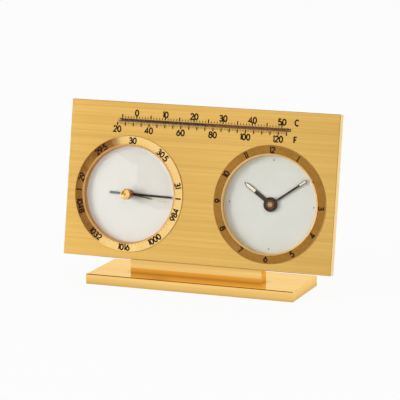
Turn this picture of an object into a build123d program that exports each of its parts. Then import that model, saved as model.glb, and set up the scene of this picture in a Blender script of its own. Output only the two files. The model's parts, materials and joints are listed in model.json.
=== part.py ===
from build123d import *
from math import acos, atan2, cos, degrees, hypot, radians, sin, sqrt, tan
import os

# Desk weather station with a thermometer, an aneroid barometer and a spring-driven clock.
# Millimetres. +X runs to the viewer's right, +Z up, and the dials face -Y.
# The origin is on the table, under the middle of the base.

# ---------------------------------------------------------------- driving sizes
# Clearances
running = 0.05
seat = 0.05
free_gap = 0.2

# Stand
base_length = 127.4
base_depth = 43.4
base_thickness = 6.0
base_chamfer = 0.4
felt_margin = 2.0
felt_thickness = 0.8
felt_proud = 0.3
bar_length = 81.0
bar_depth = 8.0
bar_front = -9.5
base_screw_inset = 12.5
lip_height = 5.5
lip_clearance = 2.5
lip_screw_inset = 7.0
screw_land = 2.4

# Front plate: it leans back, and its lower front edge stands clear of the base
plate_thickness = 5.8
plate_edge_chamfer = 0.25
plate_front = -11.6
plate_rise = 8.5
lean = 10.0
side_margin = 5.2

# Both dials: the rings and cases follow from the openings in the plate
opening_radius = 31.0
ring_overlap = 2.9
ring_bevel = 1.0
ring_proud = 0.5
ring_seat = 1.0
sleeve_wall = 1.5
glass_play = 0.15
glass_cover = 1.2
glass_thickness = 1.0
glass_drop = 0.8
dial_thickness = 0.6
edge_break = 0.15

# Cases behind the plate
case_wall = 1.7
case_shoulder = 1.1
back_space = 2.5
flange_width = 4.8
flange_thickness = 1.0
cover_thickness = 1.0
cover_grip = 1.5
cover_grip_wall = 1.0
dial_gap = 14.8
dial_foot = 1.8

# Screws
small_thread = 1.0
small_head = 1.9
small_head_height = 1.2
small_length = 4.3
stand_thread = 1.25
stand_head = 2.2
stand_head_height = 1.5
stand_length = 6.4
screw_slot = 0.5
thread_depth = 0.2

# Movement plates and pillars
motion_space = 2.7
bridge_thickness = 1.5
clock_plate_gap = 8.5
barometer_plate_gap = 12.0
back_plate_play = 0.4
pillar_inset = 2.5
pillar_radius = 1.5
pillar_angles = {"barometer": (30, 150, 270), "clock": (15, 105, 180, 285)}
pivot_radius = 0.35
arbor_radius = 0.6
stud_radius = 0.5
stud_proud = 0.1

# Gear teeth, as shares of the module and of the pitch
tooth_depth = 1.25
tooth_height = 0.85
root_share = 0.28
tip_share = 0.12
hook_share = 0.125

# Clock hands at nine minutes past ten, measured clockwise from twelve
minute_angle = 54.0
hour_angle = 304.5
hour_hand_rise = 0.45
hour_hand_gap = 7.5
hour_hand_width = 2.4
hour_hand_boss = 3.2
hour_strip_start = 12.1
hour_pipe_radius = 1.75
minute_hand_rise = 1.3
minute_hand_gap = 1.8
minute_hand_width = 1.2
minute_tip_width = 1.7
minute_hand_boss = 3.0
minute_strip_start = 20.5
hand_thickness = 0.3
hand_frame = 0.3
hand_shoulder = 0.8
hand_point = 1.1
nut_rim = 4.25
nut_rim_height = 0.35
nut_step = 2.6
nut_step_height = 0.65
nut_crown = 1.4
nut_height = 0.9
nut_cap = 0.5
nut_clearance = 0.4

# Barometer hands, measured clockwise from the top of the dial
needle_angle = 91.0
needle_gap = 1.6
needle_tail = 13.4
needle_width = 1.1
needle_point = 1.5
needle_rise = 0.6
needle_thickness = 0.25
needle_hub = 2.0
needle_arbor_radius = 0.5
set_hand_angle = 98.5
set_hand_gap = 4.1
set_hand_width = 0.9
set_hand_tip = 0.4
set_hand_thickness = 0.25
set_hand_boss = 1.8
set_hand_drop = 0.3
set_shaft_radius = 0.8
set_knob_radius = 3.2
set_knob_height = 5.6
set_knob_neck = 2.4
set_knob_flare = 0.7
set_knob_dome = 1.1
set_knob_crown = 0.9
set_knob_dimple = 0.5
dimple_depth = 0.25
bush_shank = 1.55
bush_flange = 2.4
bush_skirt = 0.6
bush_crown = 3.0
bush_crown_ease = 0.4
bush_rise = 0.9

# Barometer movement: drops are measured backwards from its front plate
sector_module = 0.2
sector_teeth = 90
sector_teeth_below = 7
sector_teeth_above = 2
needle_pinion_teeth = 10
sector_drop = 2.0
sector_thickness = 0.5
sector_tail = 3.3
sector_tail_end = 0.3
sector_tail_width = 0.7
sector_boss = 1.4
pinion_margin = 0.3
hairspring_drop = 3.6
hairspring_height = 0.3
hairspring_pitch = 0.5
hairspring_halves = 8
hairspring_strip = 0.12
hairspring_collet = 0.8
hairspring_collet_margin = 0.1
hairspring_gap = 0.15
hairspring_stud = 0.3
bridge_drop = 4.4
bridge_plate = 0.8
bridge_width = 13.6
bridge_overhang = 2.2
bridge_pillar = 1.1
bridge_pillar_inset = 1.2
lug_thickness = 1.0
lug_width = 2.4
lug_depth = 1.1
lug_gap = 1.1
rocker_drop = 6.6
rocker_offset = 0.95
rocker_radius = 0.5
rocker_length = 7.2
rocker_arm_width = 1.0
rocker_arm_thickness = 0.8
rocker_reach = 2.6
post_x = -9.5
post_radius = 0.6
post_seat = 0.6
capsule_radius = 13.0
capsule_height = 3.6
capsule_edge = 1.2
capsule_band = 0.8
capsule_band_top = 1.4
capsule_shoulder = 2.2
capsule_trough = 2.1
capsule_crest = 2.8
capsule_waves = 3
capsule_boss = 4.4
capsule_socket = 1.8
stem_radius = 1.5
stem_length = 1.0
stem_gap = 0.1
adjuster_head = 2.5
adjuster_slot = 0.5
adjuster_inset = 0.1

# Clock train, from the barrel to the escape wheel
barrel_teeth = 80
barrel_case_gap = 2.44
barrel_centre_gap = 1.8
barrel_direction = 225.0
intermediate_pinion_teeth = 12
large_wheel_teeth = 60
centre_pinion_teeth = 12
centre_wheel_teeth = 64
leaves = 8
escape_teeth = 15
centre_module = 0.25
third_module = 0.2
fourth_module = 0.18
third_direction = 40.0
fourth_direction = -40.0
escape_direction = -75.0
balance_direction = -110.0
opened_mesh = 0.55
wheel_thickness = 0.6
thin_wheel = 0.5
pinion_overlap = 0.2
wheel_step = 1.0
fine_wheel_step = 2.0
centre_radius = 0.75

# Motion work, between the clock's front plate and its dial
cannon_teeth = 12
minute_wheel_teeth = 36
minute_pinion_teeth = 10
hour_wheel_teeth = 40
cannon_module = 0.25
motion_direction = 250.0
motion_gap = 0.3
cannon_face = 0.9
cannon_radius = 1.1
minute_pinion_face = 1.2

# Barrel, ratchet, click and key
drum_step = 0.425
drum_wall = 0.6
drum_gap = 0.5
barrel_arbor_radius = 1.6
mainspring_start = 2.6
mainspring_halves = 12
mainspring_strip = 0.35
ratchet_teeth = 24
ratchet_radius = 5.2
ratchet_tooth = 0.7
ratchet_thickness = 0.9
ratchet_gap = 0.3
click_distance = 7.4
click_direction = 60.0
click_contact = 12.0
click_boss = 1.2
click_width = 1.0
click_nose = 0.5
click_hook = 0.8
key_radius = 1.2
key_hub = 2.6
key_hub_length = 6.5
key_socket = 5.5
key_gap = 0.5
wing_radius = 3.6
wing_centre = 3.6
wing_height = 4.7
wing_thickness = 1.8
wing_root = 1.0
knob_flutes = 40
knob_module = 0.2
knob_gap = 0.6
knob_length = 3.9

# Escapement and balance
escape_radius = 3.6
escape_tooth = 0.8
escape_rise = 0.1
escape_thickness = 0.4
pallet_gap = 1.0
pallet_reach = 1.5
pallet_spread = 2.7
pallet_width = 0.5
pallet_arbor_radius = 0.4
pallet_pivot = 0.25
fork_length = 4.0
fork_horn = 1.4
fork_gap = 0.55
balance_rim = 5.2
balance_rim_width = 0.8
balance_arm = 0.7
balance_rise = 0.9
roller_radius = 1.2
roller_margin = 0.3
collet_radius = 0.8
collet_margin = 0.2
balance_spring_rise = 2.2
balance_spring_height = 0.3
balance_spring_gap = 0.15
balance_spring_pitch = 0.6
balance_spring_halves = 10
balance_spring_strip = 0.12
balance_spring_stud = 0.35
regulator_boss = 1.5
regulator_rim = 1.0
regulator_width = 1.2
regulator_thickness = 0.6
regulator_gap = 0.1
regulator_inset = 1.26
regulator_pin = 0.6
regulator_proud = 1.0
regulator_swing = 22.0
regulator_spare = 3.0

# Thermometer
tube_clearance = 6.95
tube_margin = 10.75
tube_radius = 0.95
bore_radius = 0.6
tube_left_overhang = 8.1
tube_right_overhang = 9.2
tube_bend = 1.3
tip_depth = 9.0
column_end = 2.36
bulb_radius = 2.6
bulb_length = 15.5
bulb_depth = 9.2
bulb_wall = 0.5
bulb_corner = 1.2
bulb_leg_inset = 2.0
clip_strap = 0.8
clip_width = 5.0
clip_foot = 4.4
clip_gap = 1.2

# ---------------------------------------------------------------- sizes that follow
ring_radius = opening_radius + ring_overlap
sleeve_radius = opening_radius - seat
glass_radius = sleeve_radius - sleeve_wall - glass_play
ring_bore = glass_radius - glass_cover
ring_flat_radius = ring_bore + ring_bevel
dial_radius = opening_radius - free_gap
case_radius = opening_radius + free_gap
case_bore = case_radius - case_wall
case_shoulder_bore = case_bore - case_shoulder
flange_radius = case_radius + flange_width
case_screw_circle = (case_radius + flange_radius) / 2
back_plate_radius = case_shoulder_bore - cover_grip_wall - back_plate_play
pillar_circle = back_plate_radius - pillar_inset
hour_hand_length = ring_bore - hour_hand_gap
minute_hand_length = ring_bore - minute_hand_gap
needle_length = ring_bore - needle_gap
set_hand_length = ring_bore - set_hand_gap

dial_spread = 2 * flange_radius + dial_gap
dial_height = flange_radius + dial_foot
plate_width = dial_spread + 2 * (ring_radius + side_margin)
tube_height = dial_height + flange_radius + tube_clearance
plate_height = tube_height + tube_margin
tube_left = -dial_spread / 2 - tube_left_overhang
tube_right = dial_spread / 2 + tube_right_overhang
# The lip stops short of the two flanges
flange_half_chord = sqrt(flange_radius ** 2 - (dial_height - lip_height) ** 2)
lip_length = dial_spread - 2 * (flange_half_chord + lip_clearance)

# ---------------------------------------------------------------- frames of reference
base_top = felt_proud + base_thickness
plate_foot = base_top + plate_rise
face = Plane(
    origin=(0, plate_front, plate_foot),
    x_dir=(1, 0, 0),
    z_dir=(0, -cos(radians(lean)), sin(radians(lean))),
)


def on(frame, x, y, turn=0):
    """A plane parallel to the frame, with its origin at x, y and its x axis turned by some degrees."""
    heading = frame.x_dir * cos(radians(turn)) + frame.y_dir * sin(radians(turn))
    return Plane(origin=frame.from_local_coords((x, y, 0)), x_dir=heading, z_dir=frame.z_dir)


def polar(radius, angle):
    """The point at a radius and an angle in degrees."""
    return radius * cos(radians(angle)), radius * sin(radians(angle))


barometer = on(face, -dial_spread / 2, dial_height)
clock = on(face, dial_spread / 2, dial_height)

# Levels along the axis of a dial: 0 is the front of the plate, and minus is behind it
plate_back = -plate_thickness
glass_top = ring_proud - glass_drop
glass_bottom = glass_top - glass_thickness
dial_front = glass_bottom - nut_clearance - nut_height - hand_thickness - minute_hand_rise
dial_back = dial_front - dial_thickness
front_plate_top = dial_back - motion_space
front_plate_bottom = front_plate_top - bridge_thickness
clock_plate_top = front_plate_bottom - clock_plate_gap
clock_plate_bottom = clock_plate_top - bridge_thickness
base_plate_top = front_plate_bottom - barometer_plate_gap
base_plate_bottom = base_plate_top - bridge_thickness
case_back = base_plate_bottom - back_space
cover_back = case_back - cover_thickness


# ---------------------------------------------------------------- shapes used again and again
def prism(plane, points, low, high, mode=Mode.ADD):
    """A straight-sided solid between two levels, from the corners of its outline."""
    with BuildSketch(plane.offset(low)) as outline:
        with BuildLine():
            Polyline(*points, close=True)
        make_face()
    extrude(outline.sketch, amount=high - low, mode=mode)


def disc(plane, radius, low, high, mode=Mode.ADD):
    """A round solid between two levels."""
    with BuildSketch(plane.offset(low)) as outline:
        Circle(radius)
    extrude(outline.sketch, amount=high - low, mode=mode)


def tube(plane, outer, inner, low, high):
    """A round solid with a hole through it."""
    with BuildSketch(plane.offset(low)) as outline:
        Circle(outer)
        Circle(inner, mode=Mode.SUBTRACT)
    extrude(outline.sketch, amount=high - low)


def block(plane, width, height, low, high, mode=Mode.ADD):
    """A rectangular solid, centred on the plane's origin."""
    with BuildSketch(plane.offset(low)) as outline:
        Rectangle(width, height)
    extrude(outline.sketch, amount=high - low, mode=mode)


def turned(plane, points, mode=Mode.ADD):
    """A solid of revolution about the plane's axis, from points given as radius and level."""
    section = Plane(origin=plane.origin, x_dir=plane.x_dir, z_dir=-plane.y_dir)
    with BuildSketch(section) as outline:
        with BuildLine():
            Polyline(*points, close=True)
        make_face()
    revolve(outline.sketch, axis=Axis(plane.origin, plane.z_dir), mode=mode)


def tooth_corners(teeth, module, middle):
    """The four corners of a gear tooth centred on an angle."""
    pitch = 360 / teeth
    root = module * (teeth / 2 - tooth_depth)
    tip = module * (teeth / 2 + tooth_height)
    corners = ((root, -root_share), (tip, -tip_share), (tip, tip_share), (root, root_share))
    return [polar(radius, middle + share * pitch) for radius, share in corners]


def gear(plane, teeth, module, phase, low, high):
    """A toothed disc with one tooth centred on the phase angle."""
    points = []
    for tooth in range(teeth):
        points += tooth_corners(teeth, module, phase + tooth * 360 / teeth)
    prism(plane, points, low, high)


def meshed_phase(driver_teeth, driver_phase, teeth, direction):
    """The phase that puts a gear's gap opposite the driver's tooth, along the line of centres."""
    fraction = ((direction - driver_phase) * driver_teeth / 360) % 1
    return direction + 180 - (0.5 - fraction) * 360 / teeth


def spiral(plane, inner_radius, pitch, half_turns, thickness, low, high):
    """A flat coil of strip, made of half circles; an even count ends it on the plane's x axis."""
    end = inner_radius + half_turns * pitch / 2
    with BuildSketch(plane.offset(low)) as strip:
        with BuildLine():
            for side in (-thickness / 2, thickness / 2):
                for half in range(half_turns):
                    centre = (pitch / 2 * (half % 2), 0)
                    radius = inner_radius + half * pitch / 2 + side
                    CenterArc(centre, radius, 180 * (half % 2), 180)
            for x in (inner_radius, end):
                Line((x - thickness / 2, 0), (x + thickness / 2, 0))
        make_face()
    extrude(strip.sketch, amount=high - low)


def screw(plane, thread, head, head_height, length):
    """A slotted cheese-head screw whose head rests on the plane and points along its axis."""
    disc(plane, thread, -length, 0)
    disc(plane, head, 0, head_height)
    block(plane, 2 * head, screw_slot, head_height / 2, head_height, Mode.SUBTRACT)


def arbor(plane, low_plate, high_plate):
    """A plain arbor between two movement plates, with a pivot at each end."""
    disc(plane, arbor_radius, low_plate + running, high_plate - running)
    disc(plane, pivot_radius, low_plate - bridge_thickness / 2, high_plate + bridge_thickness / 2)


def keep(piece, name):
    """Label a finished piece and write it out."""
    piece.part.label = name
    export_step(piece.part, f"parts/{name}.step")


def behind(place, level):
    """A plane at a level of a dial's axis that looks out of the back of the instrument."""
    origin = place.from_local_coords((0, 0, level))
    return Plane(origin=origin, x_dir=place.x_dir, z_dir=-place.z_dir)


os.makedirs("parts", exist_ok=True)

# ---------------------------------------------------------------- stand
bar_back = bar_front + bar_depth
stand_hole = stand_thread + running
stand_head_hole = stand_head + running
base_screw_x = bar_length / 2 - base_screw_inset
base_screw_places = [(x, (bar_front + bar_back) / 2) for x in (-base_screw_x, base_screw_x)]
base_screw_seat = felt_thickness + screw_land
lip_screw_x = lip_length / 2 - lip_screw_inset
lip_screw_y = lip_height / 2 + running
lip_screw_places = [on(face, x, lip_screw_y) for x in (-lip_screw_x, lip_screw_x)]
lip_screw_seat = plate_back - screw_land

with BuildPart() as base_slab:
    with BuildSketch(Plane.XY.offset(felt_proud)):
        Rectangle(base_length, base_depth)
    extrude(amount=base_thickness)
    chamfer(base_slab.faces().sort_by(Axis.Z)[-1].edges(), base_chamfer)
    block(Plane.XY, base_length - 2 * felt_margin, base_depth - 2 * felt_margin,
          felt_proud, felt_thickness, Mode.SUBTRACT)
    for x, y in base_screw_places:
        disc(on(Plane.XY, x, y), stand_head_hole, felt_thickness, base_screw_seat, Mode.SUBTRACT)
        disc(on(Plane.XY, x, y), stand_hole, base_screw_seat, base_top, Mode.SUBTRACT)
keep(base_slab, "base_slab")

with BuildPart() as base_felt:
    felt_size = (base_length - 2 * felt_margin - 2 * seat, base_depth - 2 * felt_margin - 2 * seat)
    block(Plane.XY, *felt_size, 0, felt_thickness)
keep(base_felt, "base_felt")


def plate_underside(y):
    """Height of the plate's slanting lower face at a depth y."""
    return plate_foot - (y - plate_front) * tan(radians(lean))


with BuildPart() as support_bar:
    profile = [
        (bar_front, base_top),
        (bar_back, base_top),
        (bar_back, plate_underside(bar_back)),
        (bar_front, plate_underside(bar_front)),
    ]
    prism(Plane.YZ, profile, -bar_length / 2, bar_length / 2)
    # The lip stands behind the plate and takes the two screws that hold it
    lip_foot = face.from_local_coords((0, 0, plate_back))
    lip_top = face.from_local_coords((0, lip_height, plate_back))
    lip_profile = [
        (lip_foot.Y, lip_foot.Z),
        (bar_back, plate_underside(bar_back)),
        (bar_back, lip_top.Z - (bar_back - lip_top.Y) * tan(radians(lean))),
        (lip_top.Y, lip_top.Z),
    ]
    prism(Plane.YZ, lip_profile, -lip_length / 2, lip_length / 2)
    for x, y in base_screw_places:
        disc(on(Plane.XY, x, y), stand_hole, base_top,
             base_screw_seat + stand_length + seat, Mode.SUBTRACT)
    for place in lip_screw_places:
        disc(place, stand_hole, lip_screw_seat, plate_back, Mode.SUBTRACT)
        disc(place, stand_head_hole, lip_screw_seat - bar_depth, lip_screw_seat, Mode.SUBTRACT)
keep(support_bar, "support_bar")

stand_screw = (stand_thread, stand_head, stand_head_height, stand_length)
with BuildPart() as stand_screws:
    for x, y in base_screw_places:
        downwards = Plane(origin=(x, y, base_screw_seat), x_dir=(1, 0, 0), z_dir=(0, 0, -1))
        screw(downwards, *stand_screw)
    for place in lip_screw_places:
        screw(behind(place, lip_screw_seat), *stand_screw)
keep(stand_screws, "stand_screws")


# ---------------------------------------------------------------- front plate
def flange_places(dial):
    """Where the three screws of a case go, about the dial."""
    return [on(dial, *polar(case_screw_circle, angle)) for angle in (90, 210, 330)]


bulb_clip = {"across": tube_left + bulb_length / 2 - bulb_leg_inset, "gap": bulb_radius + seat,
             "reach": bulb_depth + bulb_radius + seat}
tip_clip = {"across": tube_right, "gap": tube_radius + seat, "reach": tip_depth + seat}
clip_screw_places = [
    on(face, clip["across"], tube_height + clip["gap"] + clip_strap + clip_foot / 2)
    for clip in (bulb_clip, tip_clip)
]
thread_hole = small_thread + running
slot_radius = tube_radius + 3 * running

with BuildPart() as front_plate:
    with BuildSketch(face.offset(plate_back)):
        Rectangle(plate_width, plate_height, align=(Align.CENTER, Align.MIN))
    extrude(amount=plate_thickness)
    chamfer(front_plate.edges(), plate_edge_chamfer)
    for dial in (barometer, clock):
        disc(dial, opening_radius, plate_back, 0, Mode.SUBTRACT)
        disc(dial, ring_radius + seat, -ring_seat, 0, Mode.SUBTRACT)
        for place in flange_places(dial):
            hole_end = plate_back - flange_thickness + small_length + thread_depth
            disc(place, thread_hole, plate_back, hole_end, Mode.SUBTRACT)
    for place in clip_screw_places:
        hole_end = plate_back - clip_strap + small_length + thread_depth
        disc(place, thread_hole, plate_back, hole_end, Mode.SUBTRACT)
    for place in lip_screw_places:
        hole_end = lip_screw_seat + stand_length + thread_depth
        disc(place, stand_hole, plate_back, hole_end, Mode.SUBTRACT)
    for leg, inward in ((tube_left, 1), (tube_right, -1)):
        with BuildSketch(on(face, leg + inward * tube_bend / 2, tube_height).offset(plate_back)):
            SlotCenterToCenter(tube_bend, 2 * slot_radius)
        extrude(amount=plate_thickness, mode=Mode.SUBTRACT)
keep(front_plate, "front_plate")

# ---------------------------------------------------------------- thermometer
tube_plane = Plane(
    origin=face.from_local_coords((0, tube_height, 0)), x_dir=face.x_dir, z_dir=-face.y_dir
)
bulb_plane = Plane(
    origin=face.from_local_coords((tube_left - bulb_leg_inset, tube_height, -bulb_depth)),
    x_dir=face.y_dir,
    z_dir=face.x_dir,
)


def capillary(corners, radius, mode=Mode.ADD):
    """A round run along the tube's centre line, through the corners given across and outwards."""
    with BuildLine(tube_plane) as run:
        FilletPolyline(*corners, radius=tube_bend)
    with BuildSketch(Plane(origin=run.line @ 0, z_dir=run.line % 0)) as section:
        Circle(radius)
    sweep(section.sketch, path=run.line, mode=mode)


def bulb(inset, mode=Mode.ADD):
    """The bulb's outline with its eased ends, or the same set in all round."""
    radius = bulb_radius - inset
    end = bulb_length - inset
    turned(bulb_plane, [
        (0, inset), (radius - bulb_corner, inset), (radius, inset + bulb_corner),
        (radius, end - bulb_corner), (radius - bulb_corner, end), (0, end),
    ], mode)


with BuildPart() as thermometer_tube:
    bulb(0)
    left_leg = [(tube_left, -bulb_depth), (tube_left, tube_radius)]
    right_leg = [(tube_right, tube_radius), (tube_right, -tip_depth)]
    capillary(left_leg + right_leg, tube_radius)
    bore_end = [(tube_right, tube_radius), (tube_right, -tip_depth + bulb_wall)]
    capillary(left_leg + bore_end, bore_radius, Mode.SUBTRACT)
    bulb(bulb_wall, Mode.SUBTRACT)
keep(thermometer_tube, "thermometer_tube")

with BuildPart() as thermometer_fluid:
    capillary(left_leg + [(column_end, tube_radius)], bore_radius - seat)
    bulb(bulb_wall + seat)
keep(thermometer_fluid, "thermometer_fluid")

with BuildPart() as tube_clips:
    for clip in (bulb_clip, tip_clip):
        inner = clip["gap"]
        outer = inner + clip_strap
        foot = outer + clip_foot
        low_inner = -clip["reach"]
        low_outer = low_inner - clip_strap
        across = Plane(
            origin=face.from_local_coords((clip["across"], tube_height, 0)),
            x_dir=face.y_dir,
            z_dir=face.x_dir,
        )
        strap = [
            (inner, plate_back), (foot, plate_back),
            (foot, plate_back - clip_strap), (outer, plate_back - clip_strap),
            (outer, low_outer), (-outer, low_outer),
            (-outer, plate_back - clip_gap), (-inner, plate_back - clip_gap),
            (-inner, low_inner), (inner, low_inner),
        ]
        prism(across, strap, -clip_width / 2, clip_width / 2)
    for place in clip_screw_places:
        disc(place, thread_hole, plate_back - clip_strap, plate_back, Mode.SUBTRACT)
keep(tube_clips, "tube_clips")

small_screw = (small_thread, small_head, small_head_height, small_length)
with BuildPart() as small_screws:
    for dial in (barometer, clock):
        for place in flange_places(dial):
            screw(behind(place, plate_back - flange_thickness), *small_screw)
    for place in clip_screw_places:
        screw(behind(place, plate_back - clip_strap), *small_screw)
keep(small_screws, "small_screws")

# ---------------------------------------------------------------- rings, dials and cases
dial_holes = {"barometer": 2 * needle_arbor_radius, "clock": hour_pipe_radius + free_gap}

for name, dial in (("barometer", barometer), ("clock", clock)):
    with BuildPart() as scale_ring:
        turned(dial, [
            (ring_bore, glass_top), (ring_bore, 0), (ring_flat_radius, ring_proud),
            (ring_radius - edge_break, ring_proud), (ring_radius, ring_proud - edge_break),
            (ring_radius, -ring_seat), (sleeve_radius, -ring_seat), (sleeve_radius, dial_front),
            (sleeve_radius - sleeve_wall, dial_front), (sleeve_radius - sleeve_wall, glass_top),
        ])
    keep(scale_ring, f"{name}_ring")

    with BuildPart() as dial_plate:
        tube(dial, dial_radius, dial_holes[name], dial_back, dial_front)
    keep(dial_plate, f"{name}_dial")

    with BuildPart() as case:
        flange_back = plate_back - flange_thickness
        turned(dial, [
            (case_bore, dial_back), (dial_radius, dial_back), (dial_radius, plate_back),
            (flange_radius, plate_back), (flange_radius, flange_back),
            (case_radius, flange_back), (case_radius, case_back),
            (case_shoulder_bore, case_back), (case_shoulder_bore, front_plate_bottom),
            (case_bore, front_plate_bottom),
        ])
        for place in flange_places(dial):
            disc(place, thread_hole, flange_back, plate_back, Mode.SUBTRACT)
    keep(case, f"{name}_case")

with BuildPart() as dial_walls:
    for dial in (barometer, clock):
        tube(dial, glass_radius, ring_bore, dial_front, glass_bottom)
keep(dial_walls, "dial_walls")

with BuildPart() as barometer_glass:
    tube(barometer, glass_radius, bush_shank + seat, glass_bottom, glass_top)
keep(barometer_glass, "barometer_glass")

with BuildPart() as clock_glass:
    disc(clock, glass_radius, glass_bottom, glass_top)
keep(clock_glass, "clock_glass")


def movement_front(dial):
    """The rimmed plate that carries a movement: the case's shoulder and the dial hold it."""
    outer = case_bore - seat
    rim = outer - case_shoulder
    turned(dial, [
        (0, front_plate_bottom), (outer, front_plate_bottom), (outer, dial_back),
        (rim, dial_back), (rim, front_plate_top), (0, front_plate_top),
    ])


def back_cover(dial):
    """The push-in cover at the back of a case."""
    grip = case_shoulder_bore - seat
    turned(dial, [
        (0, cover_back), (case_radius, cover_back), (case_radius, case_back), (grip, case_back),
        (grip, case_back + cover_grip), (grip - cover_grip_wall, case_back + cover_grip),
        (grip - cover_grip_wall, case_back), (0, case_back),
    ])


with BuildPart() as movement_pillars:
    for dial, top, angles in (
        (barometer, base_plate_top, pillar_angles["barometer"]),
        (clock, clock_plate_top, pillar_angles["clock"]),
    ):
        for angle in angles:
            disc(on(dial, *polar(pillar_circle, angle)), pillar_radius, top, front_plate_bottom)
keep(movement_pillars, "movement_pillars")

# ---------------------------------------------------------------- barometer
needle_level = dial_front + needle_rise
needle_top = needle_level + 2 * needle_thickness
bush_bottom = glass_bottom - bush_skirt
bush_top = glass_top + bush_rise
set_hand_top = bush_bottom - set_hand_drop
set_hand_level = set_hand_top - set_hand_thickness

sector_level = front_plate_bottom - sector_drop
sector_high = sector_level + sector_thickness
hairspring_level = front_plate_bottom - hairspring_drop
bridge_top = front_plate_bottom - bridge_drop
bridge_bottom = bridge_top - bridge_plate
rocker_level = front_plate_bottom - rocker_drop
sector_x = -sector_module * (sector_teeth + needle_pinion_teeth) / 2
rocker_arm_x = sector_x - sector_tail
rocker_start = rocker_arm_x - rocker_arm_width / 2
post_y = rocker_offset - rocker_reach
capsule_top = base_plate_top + capsule_height
stem_end = base_plate_top - stem_length
pinion_phase = meshed_phase(sector_teeth, 0, needle_pinion_teeth, 0)
capsule_place = on(barometer, post_x, post_y)
sector_place = on(barometer, sector_x, 0)

with BuildPart() as barometer_needle:
    line = on(barometer, 0, 0, 90 - needle_angle)
    half = needle_width / 2
    neck = needle_length - needle_point
    prism(line, [
        (-needle_tail, -half), (0, -half), (neck, -half / 2), (needle_length, 0),
        (neck, half / 2), (0, half), (-needle_tail, half),
    ], needle_level, needle_level + needle_thickness)
    disc(barometer, needle_hub, needle_level, needle_top)
    disc(barometer, needle_arbor_radius, needle_level, needle_top, Mode.SUBTRACT)
keep(barometer_needle, "barometer_needle")

with BuildPart() as needle_arbor:
    disc(barometer, needle_arbor_radius, bridge_top + running, needle_top)
    disc(barometer, pivot_radius, bridge_bottom, bridge_top + running)
    gear(barometer, needle_pinion_teeth, sector_module, pinion_phase,
         sector_level - pinion_margin, sector_high + pinion_margin)
    disc(barometer, hairspring_collet, hairspring_level - hairspring_collet_margin,
         hairspring_level + hairspring_height + hairspring_collet_margin)
keep(needle_arbor, "needle_arbor")

with BuildPart() as needle_hairspring:
    coil_start = hairspring_collet + hairspring_gap
    coil_end = coil_start + hairspring_halves * hairspring_pitch / 2
    spiral(barometer, coil_start, hairspring_pitch, hairspring_halves, hairspring_strip,
           hairspring_level, hairspring_level + hairspring_height)
    disc(on(barometer, coil_end, 0), hairspring_stud, hairspring_level, front_plate_bottom)
keep(needle_hairspring, "needle_hairspring")

with BuildPart() as sector_gear:
    rim = [(0, 0)]
    for step in range(-sector_teeth_below, sector_teeth_above + 1):
        rim += tooth_corners(sector_teeth, sector_module, step * 360 / sector_teeth)
    prism(sector_place, rim, sector_level, sector_high)
    block(on(sector_place, -sector_tail / 2, 0), sector_tail + 2 * sector_tail_end,
          sector_tail_width, sector_level, sector_high)
    disc(sector_place, sector_boss, sector_level, sector_high)
    disc(sector_place, arbor_radius, bridge_top + running, front_plate_bottom - running)
    disc(sector_place, pivot_radius, bridge_bottom, front_plate_bottom + bridge_thickness / 2)
keep(sector_gear, "sector_gear")

rocker_axis = Plane(
    origin=barometer.from_local_coords((rocker_start, rocker_offset, rocker_level)),
    x_dir=barometer.y_dir,
    z_dir=barometer.x_dir,
)
with BuildPart() as rocking_shaft:
    disc(rocker_axis, rocker_radius, 0, rocker_length)
    block(on(barometer, rocker_arm_x, rocker_offset), rocker_arm_width, rocker_arm_thickness,
          rocker_level, sector_high + free_gap)
    arm_end = post_y - post_radius - seat
    block(on(barometer, post_x, (rocker_offset + arm_end) / 2), rocker_arm_width,
          rocker_offset - arm_end, rocker_level - rocker_arm_thickness / 2,
          rocker_level + rocker_arm_thickness / 2)
keep(rocking_shaft, "rocking_shaft")

with BuildPart() as arbor_bridge:
    bridge_left = rocker_arm_x + lug_gap
    first_lug = bridge_left + lug_thickness / 2
    last_lug = rocker_start + rocker_length - free_gap - lug_thickness / 2
    block(on(barometer, (bridge_left + bridge_overhang) / 2, 0), bridge_overhang - bridge_left,
          bridge_width, bridge_bottom, bridge_top)
    pillar_y = bridge_width / 2 - bridge_pillar_inset
    for y in (-pillar_y, pillar_y):
        disc(on(barometer, sector_x / 2, y), bridge_pillar, bridge_top, front_plate_bottom)
    for x in (first_lug, last_lug):
        block(on(barometer, x, rocker_offset), lug_thickness, lug_width,
              rocker_level - lug_depth, bridge_bottom)
    disc(rocker_axis, rocker_radius + running, 0, rocker_length, Mode.SUBTRACT)
    for place in (barometer, sector_place):
        disc(place, pivot_radius + running, bridge_bottom, bridge_top, Mode.SUBTRACT)
keep(arbor_bridge, "arbor_bridge")

with BuildPart() as capsule_post:
    disc(capsule_place, post_radius, capsule_top - post_seat,
         rocker_level - rocker_arm_thickness / 2 - free_gap)
keep(capsule_post, "capsule_post")

with BuildPart() as aneroid_capsule:
    shoulder = capsule_radius - capsule_edge
    wave = (shoulder - capsule_boss) / (2 * capsule_waves + 1)
    socket = post_radius + running
    profile = [
        (0, base_plate_top), (shoulder, base_plate_top),
        (capsule_radius, base_plate_top + capsule_band),
        (capsule_radius, base_plate_top + capsule_band_top),
        (shoulder, base_plate_top + capsule_shoulder),
    ]
    for ripple in range(capsule_waves, 0, -1):
        radius = capsule_boss + 2 * ripple * wave
        profile.append((radius, base_plate_top + capsule_trough))
        profile.append((radius - wave, base_plate_top + capsule_crest))
    profile += [
        (capsule_boss, capsule_top), (socket, capsule_top),
        (socket, capsule_top - capsule_socket), (0, capsule_top - capsule_socket),
    ]
    turned(capsule_place, profile)
    disc(capsule_place, stem_radius, stem_end, base_plate_top)
keep(aneroid_capsule, "aneroid_capsule")

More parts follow.
